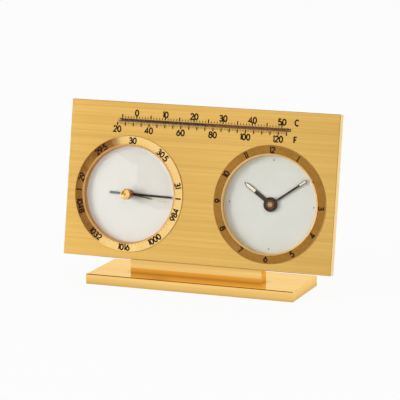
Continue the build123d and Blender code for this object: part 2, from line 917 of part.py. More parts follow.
with BuildPart() as barometer_front_plate:
    movement_front(barometer)
    disc(barometer, needle_arbor_radius + running, front_plate_bottom, front_plate_top, Mode.SUBTRACT)
    disc(sector_place, pivot_radius + running, front_plate_bottom, front_plate_top, Mode.SUBTRACT)
keep(barometer_front_plate, "barometer_front_plate")

with BuildPart() as barometer_base_plate:
    disc(barometer, back_plate_radius, base_plate_bottom, base_plate_top)
    disc(capsule_place, stem_radius + running, base_plate_bottom, base_plate_top, Mode.SUBTRACT)
keep(barometer_base_plate, "barometer_base_plate")

with BuildPart() as adjusting_screw:
    adjuster_end = cover_back + adjuster_inset
    disc(capsule_place, stem_radius, case_back, stem_end - stem_gap)
    disc(capsule_place, adjuster_head, adjuster_end, case_back)
    block(capsule_place, 2 * adjuster_head, 2 * screw_slot, adjuster_end,
          adjuster_end + adjuster_slot, Mode.SUBTRACT)
keep(adjusting_screw, "adjusting_screw")

with BuildPart() as barometer_cover:
    back_cover(barometer)
    disc(capsule_place, adjuster_head + running, cover_back, case_back, Mode.SUBTRACT)
keep(barometer_cover, "barometer_cover")

with BuildPart() as set_bush:
    shaft_bore = set_shaft_radius + running
    turned(barometer, [
        (shaft_bore, bush_bottom), (bush_flange, bush_bottom), (bush_flange, glass_bottom),
        (bush_shank, glass_bottom), (bush_shank, glass_top), (bush_crown, glass_top),
        (bush_crown, bush_top - bush_crown_ease), (bush_crown - bush_crown_ease, bush_top),
        (shaft_bore, bush_top),
    ])
keep(set_bush, "set_bush")

with BuildPart() as set_knob:
    knob_base = bush_top + 2 * running
    knob_top = knob_base + set_knob_height
    dome_start = knob_top - set_knob_dome
    dome_width = set_knob_radius - set_knob_crown
    dome = [
        (set_knob_crown + dome_width * cos(radians(turn)), dome_start + set_knob_dome * sin(radians(turn)))
        for turn in (0, 30, 60, 90)
    ]
    turned(barometer, [
        (0, set_hand_level), (set_shaft_radius, set_hand_level), (set_shaft_radius, knob_base),
        (set_knob_neck, knob_base), (set_knob_radius, knob_base + set_knob_flare), *dome,
        (set_knob_dimple, knob_top - dimple_depth), (0, knob_top - dimple_depth),
    ])
keep(set_knob, "set_knob")

with BuildPart() as set_hand:
    line = on(barometer, 0, 0, 90 - set_hand_angle)
    root = set_hand_width / 2
    tip = set_hand_tip / 2
    prism(line, [(0, -root), (set_hand_length, -tip), (set_hand_length, tip), (0, root)],
          set_hand_level, set_hand_top)
    disc(barometer, set_hand_boss, set_hand_level, set_hand_top)
    disc(barometer, set_shaft_radius, set_hand_level, set_hand_top, Mode.SUBTRACT)
keep(set_hand, "set_hand")

# ---------------------------------------------------------------- clock
# The barrel fills the room between the centre arbor and the case
barrel_tip = (case_bore - barrel_case_gap - centre_radius - barrel_centre_gap) / 2
barrel_module = barrel_tip / (barrel_teeth / 2 + tooth_height)
barrel_distance = centre_radius + barrel_centre_gap + barrel_tip
drum_radius = barrel_module * (barrel_teeth / 2 - tooth_depth) - drum_step
motion_distance = cannon_module * (cannon_teeth + minute_wheel_teeth) / 2
hour_module = 2 * motion_distance / (minute_pinion_teeth + hour_wheel_teeth)
pallet_distance = escape_radius + pallet_gap
balance_distance = fork_length + pallet_width / 2 + fork_gap + roller_radius

cannon_bore = centre_radius + running
hour_pipe_bore = cannon_radius + running
hour_hand_level = dial_front + hour_hand_rise
hour_hand_top = hour_hand_level + hand_thickness
minute_hand_level = dial_front + minute_hand_rise
hand_top = minute_hand_level + hand_thickness
centre_end = hand_top + nut_height - nut_cap


def further(start, distance, direction):
    """The point at a distance and a direction from another point."""
    step_x, step_y = polar(distance, direction)
    return start[0] + step_x, start[1] + step_y


def heading(start, end):
    """The direction in degrees from one point to another."""
    return degrees(atan2(end[1] - start[1], end[0] - start[0]))


def triangle_corner(start, end, from_start, from_end):
    """The point at given distances from two others, on the left of the way between them."""
    span = hypot(end[0] - start[0], end[1] - start[1])
    lift = acos((from_start ** 2 + span ** 2 - from_end ** 2) / (2 * from_start * span))
    return further(start, from_start, heading(start, end) + degrees(lift))


centre_at = (0, 0)
minute_wheel_at = further(centre_at, motion_distance, motion_direction)
barrel_at = further(centre_at, barrel_distance, barrel_direction)
intermediate_at = triangle_corner(
    barrel_at, centre_at,
    barrel_module * (barrel_teeth + intermediate_pinion_teeth) / 2,
    centre_module * (centre_pinion_teeth + large_wheel_teeth) / 2,
)
third_at = further(centre_at, centre_module * (centre_wheel_teeth + leaves) / 2, third_direction)
fourth_distance = third_module * (large_wheel_teeth + leaves) / 2 + opened_mesh
fourth_at = further(third_at, fourth_distance, fourth_direction)
escape_at = further(fourth_at, fourth_module * (large_wheel_teeth + leaves) / 2, escape_direction)
pallet_at = further(escape_at, pallet_distance, balance_direction)
balance_at = further(pallet_at, balance_distance, balance_direction)
pivoted = [intermediate_at, third_at, fourth_at, escape_at, pallet_at, balance_at]

minute_wheel_phase = meshed_phase(cannon_teeth, 0, minute_wheel_teeth, motion_direction)
hour_phase = meshed_phase(minute_pinion_teeth, 0, hour_wheel_teeth, motion_direction + 180)
third_phase = meshed_phase(centre_wheel_teeth, 0, leaves, heading(centre_at, third_at))
intermediate_phase = meshed_phase(
    centre_pinion_teeth, 0, large_wheel_teeth, heading(centre_at, intermediate_at)
)
barrel_phase = meshed_phase(
    intermediate_pinion_teeth, 0, barrel_teeth, heading(intermediate_at, barrel_at)
)
escape_phase = meshed_phase(large_wheel_teeth, 0, leaves, heading(fourth_at, escape_at))


def baton(place, length, width, tip_width, tip_start, low):
    """A pointed clock hand with a slot for its luminous strip from tip_start outwards."""
    half = width / 2
    tip = tip_width / 2
    point = hand_point * tip_width
    neck = length - point
    prism(place, [
        (0, -half), (tip_start - hand_shoulder, -half), (tip_start, -tip), (neck, -tip), (length, 0),
        (neck, tip), (tip_start, tip), (tip_start - hand_shoulder, half), (0, half),
    ], low, low + hand_thickness)
    slot = tip - hand_frame
    slot_end = length - hand_frame * hypot(tip, point) / tip
    slot_neck = slot_end - slot * point / tip
    prism(place, [
        (tip_start, -slot), (slot_neck, -slot), (slot_end, 0), (slot_neck, slot), (tip_start, slot),
    ], low, low + hand_thickness, Mode.SUBTRACT)


with BuildPart() as hour_hand:
    baton(on(clock, 0, 0, 90 - hour_angle), hour_hand_length, hour_hand_width,
          hour_hand_width, hour_strip_start, hour_hand_level)
    disc(clock, hour_hand_boss, hour_hand_level, hour_hand_top)
    disc(clock, hour_pipe_radius, hour_hand_level, hour_hand_top, Mode.SUBTRACT)
keep(hour_hand, "hour_hand")

with BuildPart() as minute_hand:
    baton(on(clock, 0, 0, 90 - minute_angle), minute_hand_length, minute_hand_width,
          minute_tip_width, minute_strip_start, minute_hand_level)
    disc(clock, minute_hand_boss, minute_hand_level, hand_top)
    disc(clock, cannon_radius, minute_hand_level, hand_top, Mode.SUBTRACT)
keep(minute_hand, "minute_hand")

with BuildPart() as hand_nut:
    rim_top = hand_top + nut_rim_height
    step_top = hand_top + nut_step_height
    turned(clock, [
        (centre_radius, hand_top), (nut_rim, hand_top), (nut_rim, rim_top - edge_break),
        (nut_rim - edge_break, rim_top), (nut_step, rim_top), (nut_step, step_top - edge_break),
        (nut_step - edge_break, step_top), (nut_crown, step_top),
        (nut_crown - edge_break, hand_top + nut_height), (0, hand_top + nut_height),
        (0, centre_end), (centre_radius, centre_end),
    ])
keep(hand_nut, "hand_nut")

cannon_low = front_plate_top + motion_gap
cannon_high = cannon_low + cannon_face
hour_wheel_low = cannon_high + free_gap
minute_wheel_low = cannon_low + 2 * running
minute_wheel_high = minute_wheel_low + wheel_thickness
minute_pinion_high = minute_wheel_high + minute_pinion_face
with BuildPart() as cannon_pinion:
    gear(clock, cannon_teeth, cannon_module, 0, cannon_low, cannon_high)
    disc(clock, cannon_radius, cannon_low, hand_top)
    disc(clock, cannon_bore, cannon_low, hand_top, Mode.SUBTRACT)
keep(cannon_pinion, "cannon_pinion")

with BuildPart() as hour_wheel:
    gear(clock, hour_wheel_teeth, hour_module, hour_phase, hour_wheel_low,
         hour_wheel_low + wheel_thickness)
    disc(clock, hour_pipe_radius, hour_wheel_low, hour_hand_top)
    disc(clock, hour_pipe_bore, hour_wheel_low, hour_hand_top, Mode.SUBTRACT)
keep(hour_wheel, "hour_wheel")

with BuildPart() as minute_wheel:
    place = on(clock, *minute_wheel_at)
    gear(place, minute_wheel_teeth, cannon_module, minute_wheel_phase,
         minute_wheel_low, minute_wheel_high)
    gear(place, minute_pinion_teeth, hour_module, 0, minute_wheel_high, minute_pinion_high)
    disc(place, stud_radius + running, minute_wheel_low, minute_pinion_high, Mode.SUBTRACT)
keep(minute_wheel, "minute_wheel")

# Wheels between the plates, each with the pinion that the wheel before it drives
centre_wheel_low = front_plate_bottom - wheel_step
large_wheel_low = centre_wheel_low - wheel_step
barrel_low = large_wheel_low - wheel_step
third_wheel_low = barrel_low - wheel_step
fourth_wheel_low = third_wheel_low - fine_wheel_step
knob_front = cover_back - knob_gap
knob_back = knob_front - knob_length
key_front = cover_back - key_gap
key_back = key_front - key_hub_length
key_arbor_end = key_front - key_socket

with BuildPart() as centre_wheel:
    disc(clock, centre_radius, knob_back, centre_end)
    gear(clock, centre_wheel_teeth, centre_module, 0, centre_wheel_low,
         centre_wheel_low + wheel_thickness)
    gear(clock, centre_pinion_teeth, centre_module, 0, large_wheel_low - pinion_overlap,
         centre_wheel_low)
keep(centre_wheel, "centre_wheel")

with BuildPart() as setting_knob:
    gear(clock, knob_flutes, knob_module, 0, knob_back, knob_front)
    disc(clock, centre_radius, knob_back, knob_front, Mode.SUBTRACT)
keep(setting_knob, "setting_knob")


def wheel_and_pinion(at, wheel, pinion):
    """An arbor with a wheel and a pinion, each given as teeth, module, phase, low and high."""
    place = on(clock, *at)
    arbor(place, clock_plate_top, front_plate_bottom)
    gear(place, *wheel)
    gear(place, *pinion)


with BuildPart() as intermediate_wheel:
    wheel_and_pinion(
        intermediate_at,
        (large_wheel_teeth, centre_module, intermediate_phase, large_wheel_low,
         large_wheel_low + wheel_thickness),
        (intermediate_pinion_teeth, barrel_module, 0, barrel_low - pinion_overlap, large_wheel_low),
    )
keep(intermediate_wheel, "intermediate_wheel")

with BuildPart() as third_wheel:
    wheel_and_pinion(
        third_at,
        (large_wheel_teeth, third_module, 0, third_wheel_low, third_wheel_low + thin_wheel),
        (leaves, centre_module, third_phase, centre_wheel_low - pinion_overlap,
         centre_wheel_low + wheel_thickness + pinion_overlap),
    )
keep(third_wheel, "third_wheel")

with BuildPart() as fourth_wheel:
    wheel_and_pinion(
        fourth_at,
        (large_wheel_teeth, fourth_module, 0, fourth_wheel_low, fourth_wheel_low + thin_wheel),
        (leaves, third_module, 0, third_wheel_low - pinion_overlap,
         third_wheel_low + thin_wheel + pinion_overlap),
    )
keep(fourth_wheel, "fourth_wheel")


def hooked_wheel(place, teeth, tip, depth, low, high):
    """A wheel whose teeth all lean one way."""
    points = []
    for tooth in range(teeth):
        points.append(polar(tip, tooth * 360 / teeth))
        points.append(polar(tip - depth, (tooth + hook_share) * 360 / teeth))
    prism(place, points, low, high)


fork_low = third_wheel_low + escape_rise
fork_high = fork_low + escape_thickness
with BuildPart() as escape_wheel:
    place = on(clock, *escape_at)
    arbor(place, clock_plate_top, front_plate_bottom)
    gear(place, leaves, fourth_module, escape_phase, fourth_wheel_low - pinion_overlap,
         fourth_wheel_low + thin_wheel + pinion_overlap)
    hooked_wheel(place, escape_teeth, escape_radius, escape_tooth, fork_low, fork_high)
keep(escape_wheel, "escape_wheel")

# The drum sits against its toothed disc, and its spring stands clear inside it
drum_low = clock_plate_top + drum_gap
barrel_high = barrel_low + wheel_thickness
barrel_place = on(clock, *barrel_at)
with BuildPart() as mainspring_barrel:
    gear(barrel_place, barrel_teeth, barrel_module, barrel_phase, barrel_low, barrel_high)
    disc(barrel_place, drum_radius, drum_low, barrel_low)
    disc(barrel_place, drum_radius - drum_wall, drum_low + drum_wall, barrel_low, Mode.SUBTRACT)
    disc(barrel_place, barrel_arbor_radius + running, drum_low, barrel_high, Mode.SUBTRACT)
keep(mainspring_barrel, "mainspring_barrel")

with BuildPart() as mainspring:
    mainspring_end = drum_radius - drum_wall - free_gap - mainspring_strip / 2
    mainspring_pitch = 2 * (mainspring_end - mainspring_start) / mainspring_halves
    spiral(barrel_place, mainspring_start, mainspring_pitch, mainspring_halves, mainspring_strip,
           drum_low + drum_wall + free_gap, barrel_low - free_gap)
keep(mainspring, "mainspring")

with BuildPart() as barrel_arbor:
    disc(barrel_place, barrel_arbor_radius, clock_plate_top + running, front_plate_bottom - running)
    disc(barrel_place, key_radius, front_plate_bottom - running,
         front_plate_bottom + bridge_thickness / 2)
    disc(barrel_place, key_radius, key_arbor_end, clock_plate_top + running)
keep(barrel_arbor, "barrel_arbor")

ratchet_high = clock_plate_bottom - ratchet_gap
ratchet_low = ratchet_high - ratchet_thickness
with BuildPart() as ratchet_wheel:
    hooked_wheel(barrel_place, ratchet_teeth, ratchet_radius, ratchet_tooth, ratchet_low, ratchet_high)
    disc(barrel_place, key_radius, ratchet_low, ratchet_high, Mode.SUBTRACT)
keep(ratchet_wheel, "ratchet_wheel")

click_at = further(barrel_at, click_distance, click_direction)
click_reach = further(barrel_at, ratchet_radius + free_gap, click_contact)
with BuildPart() as click:
    click_place = on(clock, *click_at)
    arm = on(clock, *click_at, heading(click_at, click_reach))
    reach = hypot(click_reach[0] - click_at[0], click_reach[1] - click_at[1])
    prism(arm, [(0, -click_width), (reach, 0), (reach - click_nose, click_hook), (0, click_width)],
          ratchet_low, ratchet_high)
    disc(click_place, click_boss, ratchet_low, ratchet_high)
    disc(click_place, stud_radius + running, ratchet_low, ratchet_high, Mode.SUBTRACT)
keep(click, "click")

with BuildPart() as winding_key:
    disc(barrel_place, key_hub, key_back, key_front)
    key_end = barrel_place.from_local_coords((0, 0, key_back))
    wings = Plane(origin=key_end, x_dir=clock.x_dir, z_dir=clock.y_dir)
    with BuildSketch(wings.offset(-wing_thickness / 2)) as outline:
        with Locations((-wing_centre, wing_height), (wing_centre, wing_height)):
            Circle(wing_radius)
        with Locations((0, (wing_height - wing_root) / 2)):
            Rectangle(2 * wing_centre - wing_root, wing_height + wing_root)
    extrude(outline.sketch, amount=wing_thickness)
    disc(barrel_place, key_radius, key_arbor_end, key_front, Mode.SUBTRACT)
keep(winding_key, "winding_key")

# Escapement
with BuildPart() as pallet_fork:
    place = on(clock, *pallet_at)
    to_escape = on(clock, *pallet_at, heading(pallet_at, escape_at))
    disc(place, pallet_arbor_radius, clock_plate_top + running, front_plate_bottom - running)
    disc(place, pallet_pivot, clock_plate_top - bridge_thickness / 2,
         front_plate_bottom + bridge_thickness / 2)
    for side in (-1, 1):
        prism(to_escape, [
            (-pallet_width, 0), (pallet_reach, side * (pallet_spread + pallet_width / 2)),
            (pallet_reach, side * (pallet_spread - pallet_width / 2)), (pallet_width, 0),
        ], fork_low, fork_high)
    block(on(to_escape, -fork_length / 2, 0), fork_length, pallet_width, fork_low, fork_high)
    block(on(to_escape, -fork_length, 0), pallet_width, fork_horn, fork_low, fork_high)
keep(pallet_fork, "pallet_fork")

balance_low = clock_plate_top + balance_rise
balance_high = balance_low + wheel_thickness
spring_level = clock_plate_top + balance_spring_rise
spring_top = spring_level + balance_spring_height
with BuildPart() as balance_wheel:
    place = on(clock, *balance_at)
    arbor(place, clock_plate_top, front_plate_bottom)
    tube(place, balance_rim, balance_rim - balance_rim_width, balance_low, balance_high)
    for turn in (0, 90):
        block(on(place, 0, 0, turn), 2 * balance_rim - balance_rim_width, balance_arm,
              balance_low, balance_high)
    disc(place, collet_radius, spring_level - collet_margin, spring_top + collet_margin)
    disc(place, roller_radius, fork_low - roller_margin, fork_high + roller_margin)
keep(balance_wheel, "balance_wheel")

with BuildPart() as balance_spring:
    hair_start = collet_radius + balance_spring_gap
    hair_end = hair_start + balance_spring_halves * balance_spring_pitch / 2
    hair_place = on(clock, *balance_at, -90)
    spiral(hair_place, hair_start, balance_spring_pitch, balance_spring_halves,
           balance_spring_strip, spring_level, spring_top)
    disc(on(hair_place, hair_end, 0), balance_spring_stud, spring_level, front_plate_bottom)
keep(balance_spring, "balance_spring")

regulator_high = clock_plate_bottom - regulator_gap
regulator_low = regulator_high - regulator_thickness
regulator_reach = back_plate_radius - regulator_inset - hypot(*balance_at)
regulator_place = on(clock, *balance_at, heading(centre_at, balance_at))
with BuildPart() as regulator_lever:
    boss_bore = regulator_boss + running
    disc(regulator_place, boss_bore + regulator_rim, regulator_low, regulator_high)
    block(on(regulator_place, regulator_reach / 2, 0), regulator_reach, regulator_width,
          regulator_low, regulator_high)
    disc(on(regulator_place, regulator_reach, 0), regulator_pin, cover_back - regulator_proud,
         regulator_high)
    disc(regulator_place, boss_bore, regulator_low, regulator_high, Mode.SUBTRACT)
keep(regulator_lever, "regulator_lever")

with BuildPart() as clock_front_plate:
    movement_front(clock)
    disc(clock, centre_radius + running, front_plate_bottom, front_plate_top, Mode.SUBTRACT)
    disc(barrel_place, key_radius + running, front_plate_bottom, front_plate_top, Mode.SUBTRACT)
    for at in pivoted:
        disc(on(clock, *at), pivot_radius + running, front_plate_bottom, front_plate_top, Mode.SUBTRACT)
    disc(on(clock, *minute_wheel_at), stud_radius, front_plate_top, minute_pinion_high + stud_proud)
keep(clock_front_plate, "clock_front_plate")

with BuildPart() as clock_back_plate:
    disc(clock, back_plate_radius, clock_plate_bottom, clock_plate_top)
    disc(regulator_place, regulator_boss, regulator_low - stud_proud, clock_plate_bottom)
    disc(clock, centre_radius + running, clock_plate_bottom, clock_plate_top, Mode.SUBTRACT)
    disc(barrel_place, key_radius + running, clock_plate_bottom, clock_plate_top, Mode.SUBTRACT)
    for at in pivoted:
        disc(on(clock, *at), pivot_radius + running, clock_plate_bottom, clock_plate_top, Mode.SUBTRACT)
    disc(click_place, stud_radius, ratchet_low - stud_proud, clock_plate_bottom)
keep(clock_back_plate, "clock_back_plate")

slot_swing = regulator_swing + regulator_spare
regulator_path = CenterArc((0, 0), regulator_reach, -slot_swing, 2 * slot_swing)
with BuildPart() as clock_cover:
    back_cover(clock)
    disc(clock, centre_radius + 2 * running, cover_back, case_back, Mode.SUBTRACT)
    disc(barrel_place, key_radius + 2 * running, cover_back, case_back, Mode.SUBTRACT)
    with BuildSketch(regulator_place.offset(cover_back)):
        SlotArc(regulator_path, 2 * (regulator_pin + free_gap))
    extrude(amount=cover_thickness, mode=Mode.SUBTRACT)
keep(clock_cover, "clock_cover")
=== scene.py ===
import json
from math import asin, cos, degrees, pi, radians, sin

import bpy
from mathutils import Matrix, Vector


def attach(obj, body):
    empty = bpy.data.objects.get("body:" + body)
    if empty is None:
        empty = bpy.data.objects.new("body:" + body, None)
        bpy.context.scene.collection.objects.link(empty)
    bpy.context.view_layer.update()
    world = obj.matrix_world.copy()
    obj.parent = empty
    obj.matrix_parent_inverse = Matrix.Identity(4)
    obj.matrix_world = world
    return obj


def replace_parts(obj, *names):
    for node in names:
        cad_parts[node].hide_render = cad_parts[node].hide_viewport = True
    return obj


# Desk weather station with clock: materials, printed scales, light and camera around the CAD frame.
# Prints are sized in millimetres, in the plane of the front plate. All else is in metres.

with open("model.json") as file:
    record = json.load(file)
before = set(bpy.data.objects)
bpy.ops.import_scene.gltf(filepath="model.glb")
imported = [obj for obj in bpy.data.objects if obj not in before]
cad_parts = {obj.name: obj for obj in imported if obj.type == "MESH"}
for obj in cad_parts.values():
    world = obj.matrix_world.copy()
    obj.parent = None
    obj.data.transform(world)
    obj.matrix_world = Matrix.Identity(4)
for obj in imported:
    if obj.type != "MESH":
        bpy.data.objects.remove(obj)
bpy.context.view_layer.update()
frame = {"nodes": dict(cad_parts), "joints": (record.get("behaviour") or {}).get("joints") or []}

MM = 0.001
tube_above_dials = 42.95

# ---------------------------------------------------------------- frame of the plate
joints = {joint["name"]: joint for joint in frame["joints"]}
OUT = Vector(joints["minute_turn"]["axis"]).normalized()
ACROSS = Vector((1, 0, 0))
UP = OUT.cross(ACROSS)
CLOCK = Vector(joints["minute_turn"]["pos_m"])
BAROMETER = Vector(joints["needle_turn"]["pos_m"])
TUBE = (CLOCK + BAROMETER) / 2 + UP * tube_above_dials * MM


def at(centre, x, y, level):
    """A point in metres from millimetres across, up the plate and out of it."""
    return centre + (ACROSS * x + UP * y + OUT * level) * MM


def top_level(node, centre):
    """How far a CAD node reaches out of the plate's front, in millimetres."""
    return max((v.co - centre).dot(OUT) for v in frame["nodes"][node].data.vertices) / MM


# ---------------------------------------------------------------- sizes of what is printed
# Ink: its pen, and how far it stands in and out of the surface
stroke = 0.86
glyph_gap = 0.7
full_stop_radius = 0.36
full_stop_rise = 0.1
ink_sunk = 0.01
ink_proud = 0.03

# Thermometer scales: distances along the tube, and away from its middle
numeral_height = 4.15
celsius_zero = -41.2
celsius_step = 1.785
celsius_letter = 56.86
celsius_numeral_rise = 4.4
fahrenheit_twenty = -53.09
fahrenheit_step = 0.992
fahrenheit_letter = 56.6
fahrenheit_numeral_drop = 5.4
tube_clear = 1.25
long_tick = 2.1
short_tick = 1.15
tick_width = 0.74
fine_width = 0.44
faint_width = 0.3

# Painted shade: a brown strip inside the tube, behind the bore
shade_strip_radius = 0.86
shade_strip_ends = (-50.2, 52.6)
shade_strip_steps = 10
tube_rise = 0.95

# Rings and dials: radii from the dial's middle, and clock angles in degrees
ring_numeral_height = 4.05
ring_numeral_radius = 31.2
ring_tick = 3.4
ring_tick_angles = (91.3, 271.2)
inch_angles = {"29": 284.9, "29.5": 322.7, "30": 1.3, "30.5": 39.8, "31": 77.3}
millibar_angles = {"984": 108.9, "1000": 144.4, "1016": 181.6, "1032": 217.8, "1048": 253.5}
graduation_radius = 29.55
graduation_dot = 0.2
graduation_sides = 8
inch_steps = 40
millibar_steps = 32
upright_hours = (9, 10, 11, 12, 1, 3)
inward_hours = (4, 5, 6, 7, 8)
worn_mark_radius = 29.3
worn_mark_angle = 60.6
worn_mark_dot = 0.45
dial_dot_radius = 25.5
dial_dot = 0.42

# Barometer needle: half widths at its hub and near its point, the length of the point, its hub's
# radius, how far its tail reaches back, and how far to the left the painted reflection on its tail is
# measured from
needle_angle = 91.0
needle_root = 0.68
needle_neck = 0.6
needle_point = 1.0
needle_hub = 2.0
needle_back = 13.4
glare_origin = 15.0

# Luminous strips in the slots of the clock hands: start, shoulder, tip and half width
hour_strip = (12.2, 17.9, 19.6, 0.82)
minute_strip = (20.6, 24.4, 25.3, 0.5)
hour_angle = 304.5
minute_angle = 54.0


# ---------------------------------------------------------------- meshes
def new_mesh(name, vertices, faces, material, body):
    """A mesh object that rides on a CAD body."""
    mesh = bpy.data.meshes.new(name)
    mesh.from_pydata(vertices, [], faces)
    mesh.validate()
    mesh.materials.append(material)
    piece = bpy.data.objects.new(name, mesh)
    bpy.context.scene.collection.objects.link(piece)
    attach(piece, body)
    return piece


def ribbon(points, width, closed=False):
    """Left and right edges of a stroke of even width, with mitred corners."""
    count = len(points)
    left, right = [], []
    for i, (x, y) in enumerate(points):
        before = points[i - 1] if i > 0 or closed else None
        after = points[(i + 1) % count] if i < count - 1 or closed else None
        headings = []
        for start, end in ((before, (x, y)), ((x, y), after)):
            if start is not None and end is not None:
                way = Vector((end[0] - start[0], end[1] - start[1])).normalized()
                headings.append(Vector((-way.y, way.x)))
        normal = sum(headings, Vector((0, 0))).normalized()
        reach = width / 2 / max(0.5, normal.dot(headings[0]))
        left.append((x + normal.x * reach, y + normal.y * reach))
        right.append((x - normal.x * reach, y - normal.y * reach))
    return left, right


class Print:
    """Flat raised ink, gathered into one mesh."""

    def __init__(self, centre, level):
        self.centre = centre
        self.low = level - ink_sunk
        self.high = level + ink_proud
        self.vertices = []
        self.faces = []

    def add(self, points, faces):
        """A prism: 2-D points and the faces of its front, wound anticlockwise."""
        start = len(self.vertices)
        count = len(points)
        for level in (self.low, self.high):
            self.vertices += [at(self.centre, x, y, level) for x, y in points]
        edges = {}
        for face in faces:
            self.faces.append([start + count + i for i in face])
            self.faces.append([start + i for i in reversed(face)])
            for i, j in zip(face, face[1:] + face[:1]):
                edges[(i, j)] = True
        for i, j in edges:
            if (j, i) not in edges:
                self.faces.append([start + i, start + j, start + count + j, start + count + i])

    def stroke(self, points, width, closed=False):
        """A line of even width, open or closed."""
        left, right = ribbon(points, width, closed)
        count = len(points)
        steps = count if closed else count - 1
        faces = [[i, i + count, (i + 1) % count + count, (i + 1) % count] for i in range(steps)]
        self.add(left + right, faces)

    def dot(self, x, y, radius, sides=14):
        """A round dot."""
        points = [(x + radius * cos(2 * pi * i / sides), y + radius * sin(2 * pi * i / sides))
                  for i in range(sides)]
        self.add(points, [list(range(sides))])

    def mesh(self, name, material, body):
        """All that was printed, as one piece."""
        return new_mesh(name, self.vertices, self.faces, material, body)


# ---------------------------------------------------------------- numerals drawn with one pen
def arc(x, y, wide, high, start, end, steps=12):
    """Points on an ellipse, from one angle in degrees to another."""
    angles = [radians(start + (end - start) * i / steps) for i in range(steps + 1)]
    return [(x + wide * cos(a), y + high * sin(a)) for a in angles]


def loop(x, y, wide, high, steps=24):
    """Points round a whole ellipse."""
    return arc(x, y, wide, high, 0, 360, steps)[:-1]


# Each glyph: its width, and its strokes as (points, closed), on a height of 1
GLYPHS = {
    "0": (0.58, [(loop(0.29, 0.5, 0.29, 0.5), True)]),
    "1": (0.14, [([(0.0, 0.84), (0.14, 1.0), (0.14, 0.0)], False)]),
    "2": (0.56, [(arc(0.28, 0.72, 0.27, 0.28, 165, -25, 10) + [(0.0, 0.0), (0.56, 0.0)], False)]),
    "3": (0.56, [(arc(0.27, 0.76, 0.24, 0.24, 155, -90, 10)
                  + arc(0.27, 0.26, 0.29, 0.26, 90, -155, 12)[1:], False)]),
    "4": (0.62, [([(0.46, 0.0), (0.46, 1.0), (0.0, 0.27), (0.62, 0.27)], False)]),
    "5": (0.56, [([(0.52, 1.0), (0.1, 1.0), (0.05, 0.56)]
                  + arc(0.27, 0.31, 0.29, 0.31, 125, -150, 12), False)]),
    "6": (0.58, [([(0.42, 1.0)] + arc(0.29, 0.31, 0.29, 0.31, 150, 200, 3), False),
                 (loop(0.29, 0.31, 0.29, 0.31), True)]),
    "7": (0.56, [([(0.0, 1.0), (0.56, 1.0), (0.2, 0.0)], False)]),
    "8": (0.58, [(loop(0.29, 0.765, 0.235, 0.235), True), (loop(0.29, 0.27, 0.29, 0.27), True)]),
    "9": (0.58, [([(0.16, 0.0)] + arc(0.29, 0.69, 0.29, 0.31, -30, 20, 3), False),
                 (loop(0.29, 0.69, 0.29, 0.31), True)]),
    ".": (0.0, []),
    "C": (0.62, [(arc(0.36, 0.5, 0.36, 0.5, 48, 312, 18), False)]),
    "F": (0.46, [([(0.0, 0.0), (0.0, 1.0), (0.46, 1.0)], False), ([(0.0, 0.52), (0.38, 0.52)], False)]),
}


def write(scale, text, height, spot):
    """Draws text on a scale.

    spot takes the middle of a letter along the line and a pen point about it, and says where that is.
    """
    pen_height = height - stroke
    widths = [GLYPHS[letter][0] * pen_height for letter in text]
    total = sum(widths) + glyph_gap * (len(text) - 1)
    start = -total / 2
    for letter, width in zip(text, widths):
        middle = start + width / 2
        for points, closed in GLYPHS[letter][1]:
            drawn = [spot(middle, x * pen_height - width / 2, (y - 0.5) * pen_height) for x, y in points]
            scale.stroke(drawn, stroke, closed)
        if letter == ".":
            scale.dot(*spot(middle, 0, full_stop_rise - pen_height / 2), full_stop_radius)
        start += width + glyph_gap


def straight(x, y):
    """Places text level on the plate."""
    return lambda middle, dx, dy: (x + middle + dx, y + dy)


def around(angle, radius, inward=False):
    """Places text round a dial at a clock angle; inward text has its tops towards the middle."""
    def spot(middle, dx, dy):
        turn = radians(angle)
        if inward:
            turn -= middle / radius
            x, y = -dx, radius - dy
        else:
            turn += middle / radius
            x, y = dx, radius + dy
        return x * cos(turn) + y * sin(turn), y * cos(turn) - x * sin(turn)
    return spot


def ray(angle, inner, outer):
    """The two ends of a radial mark at a clock angle."""
    turn = radians(angle)
    return [(inner * sin(turn), inner * cos(turn)), (outer * sin(turn), outer * cos(turn))]


def turned(points, angle):
    """Points drawn towards +x, turned to a clock angle."""
    turn = radians(90 - angle)
    return [(x * cos(turn) - y * sin(turn), x * sin(turn) + y * cos(turn)) for x, y in points]


# ---------------------------------------------------------------- materials
WHITE = (1, 1, 1, 1)

# Noise lies nearly all between these two levels, and metals and paints use its middle part
noise_low = 0.3
noise_high = 0.7
metal_levels = (0.36, 0.64)
paint_levels = (0.35, 0.65)
grain_depth = 0.00002
broad_grain = 5
broad_share = 0.3
roughness_play = 0.05
fine_speckle = 900.0
broad_speckle = 50.0

# Painted shade in inner corners is full where half of what lies around is blocked
corner_shade_reach = 0.005
corner_shade_full = 0.5
corner_shade_none = 1.0


def srgb(red, green, blue):
    """Linear colour with alpha from 8-bit sRGB values."""
    def linear(value):
        value /= 255
        return value / 12.92 if value <= 0.04045 else ((value + 0.055) / 1.055) ** 2.4
    return linear(red), linear(green), linear(blue), 1.0


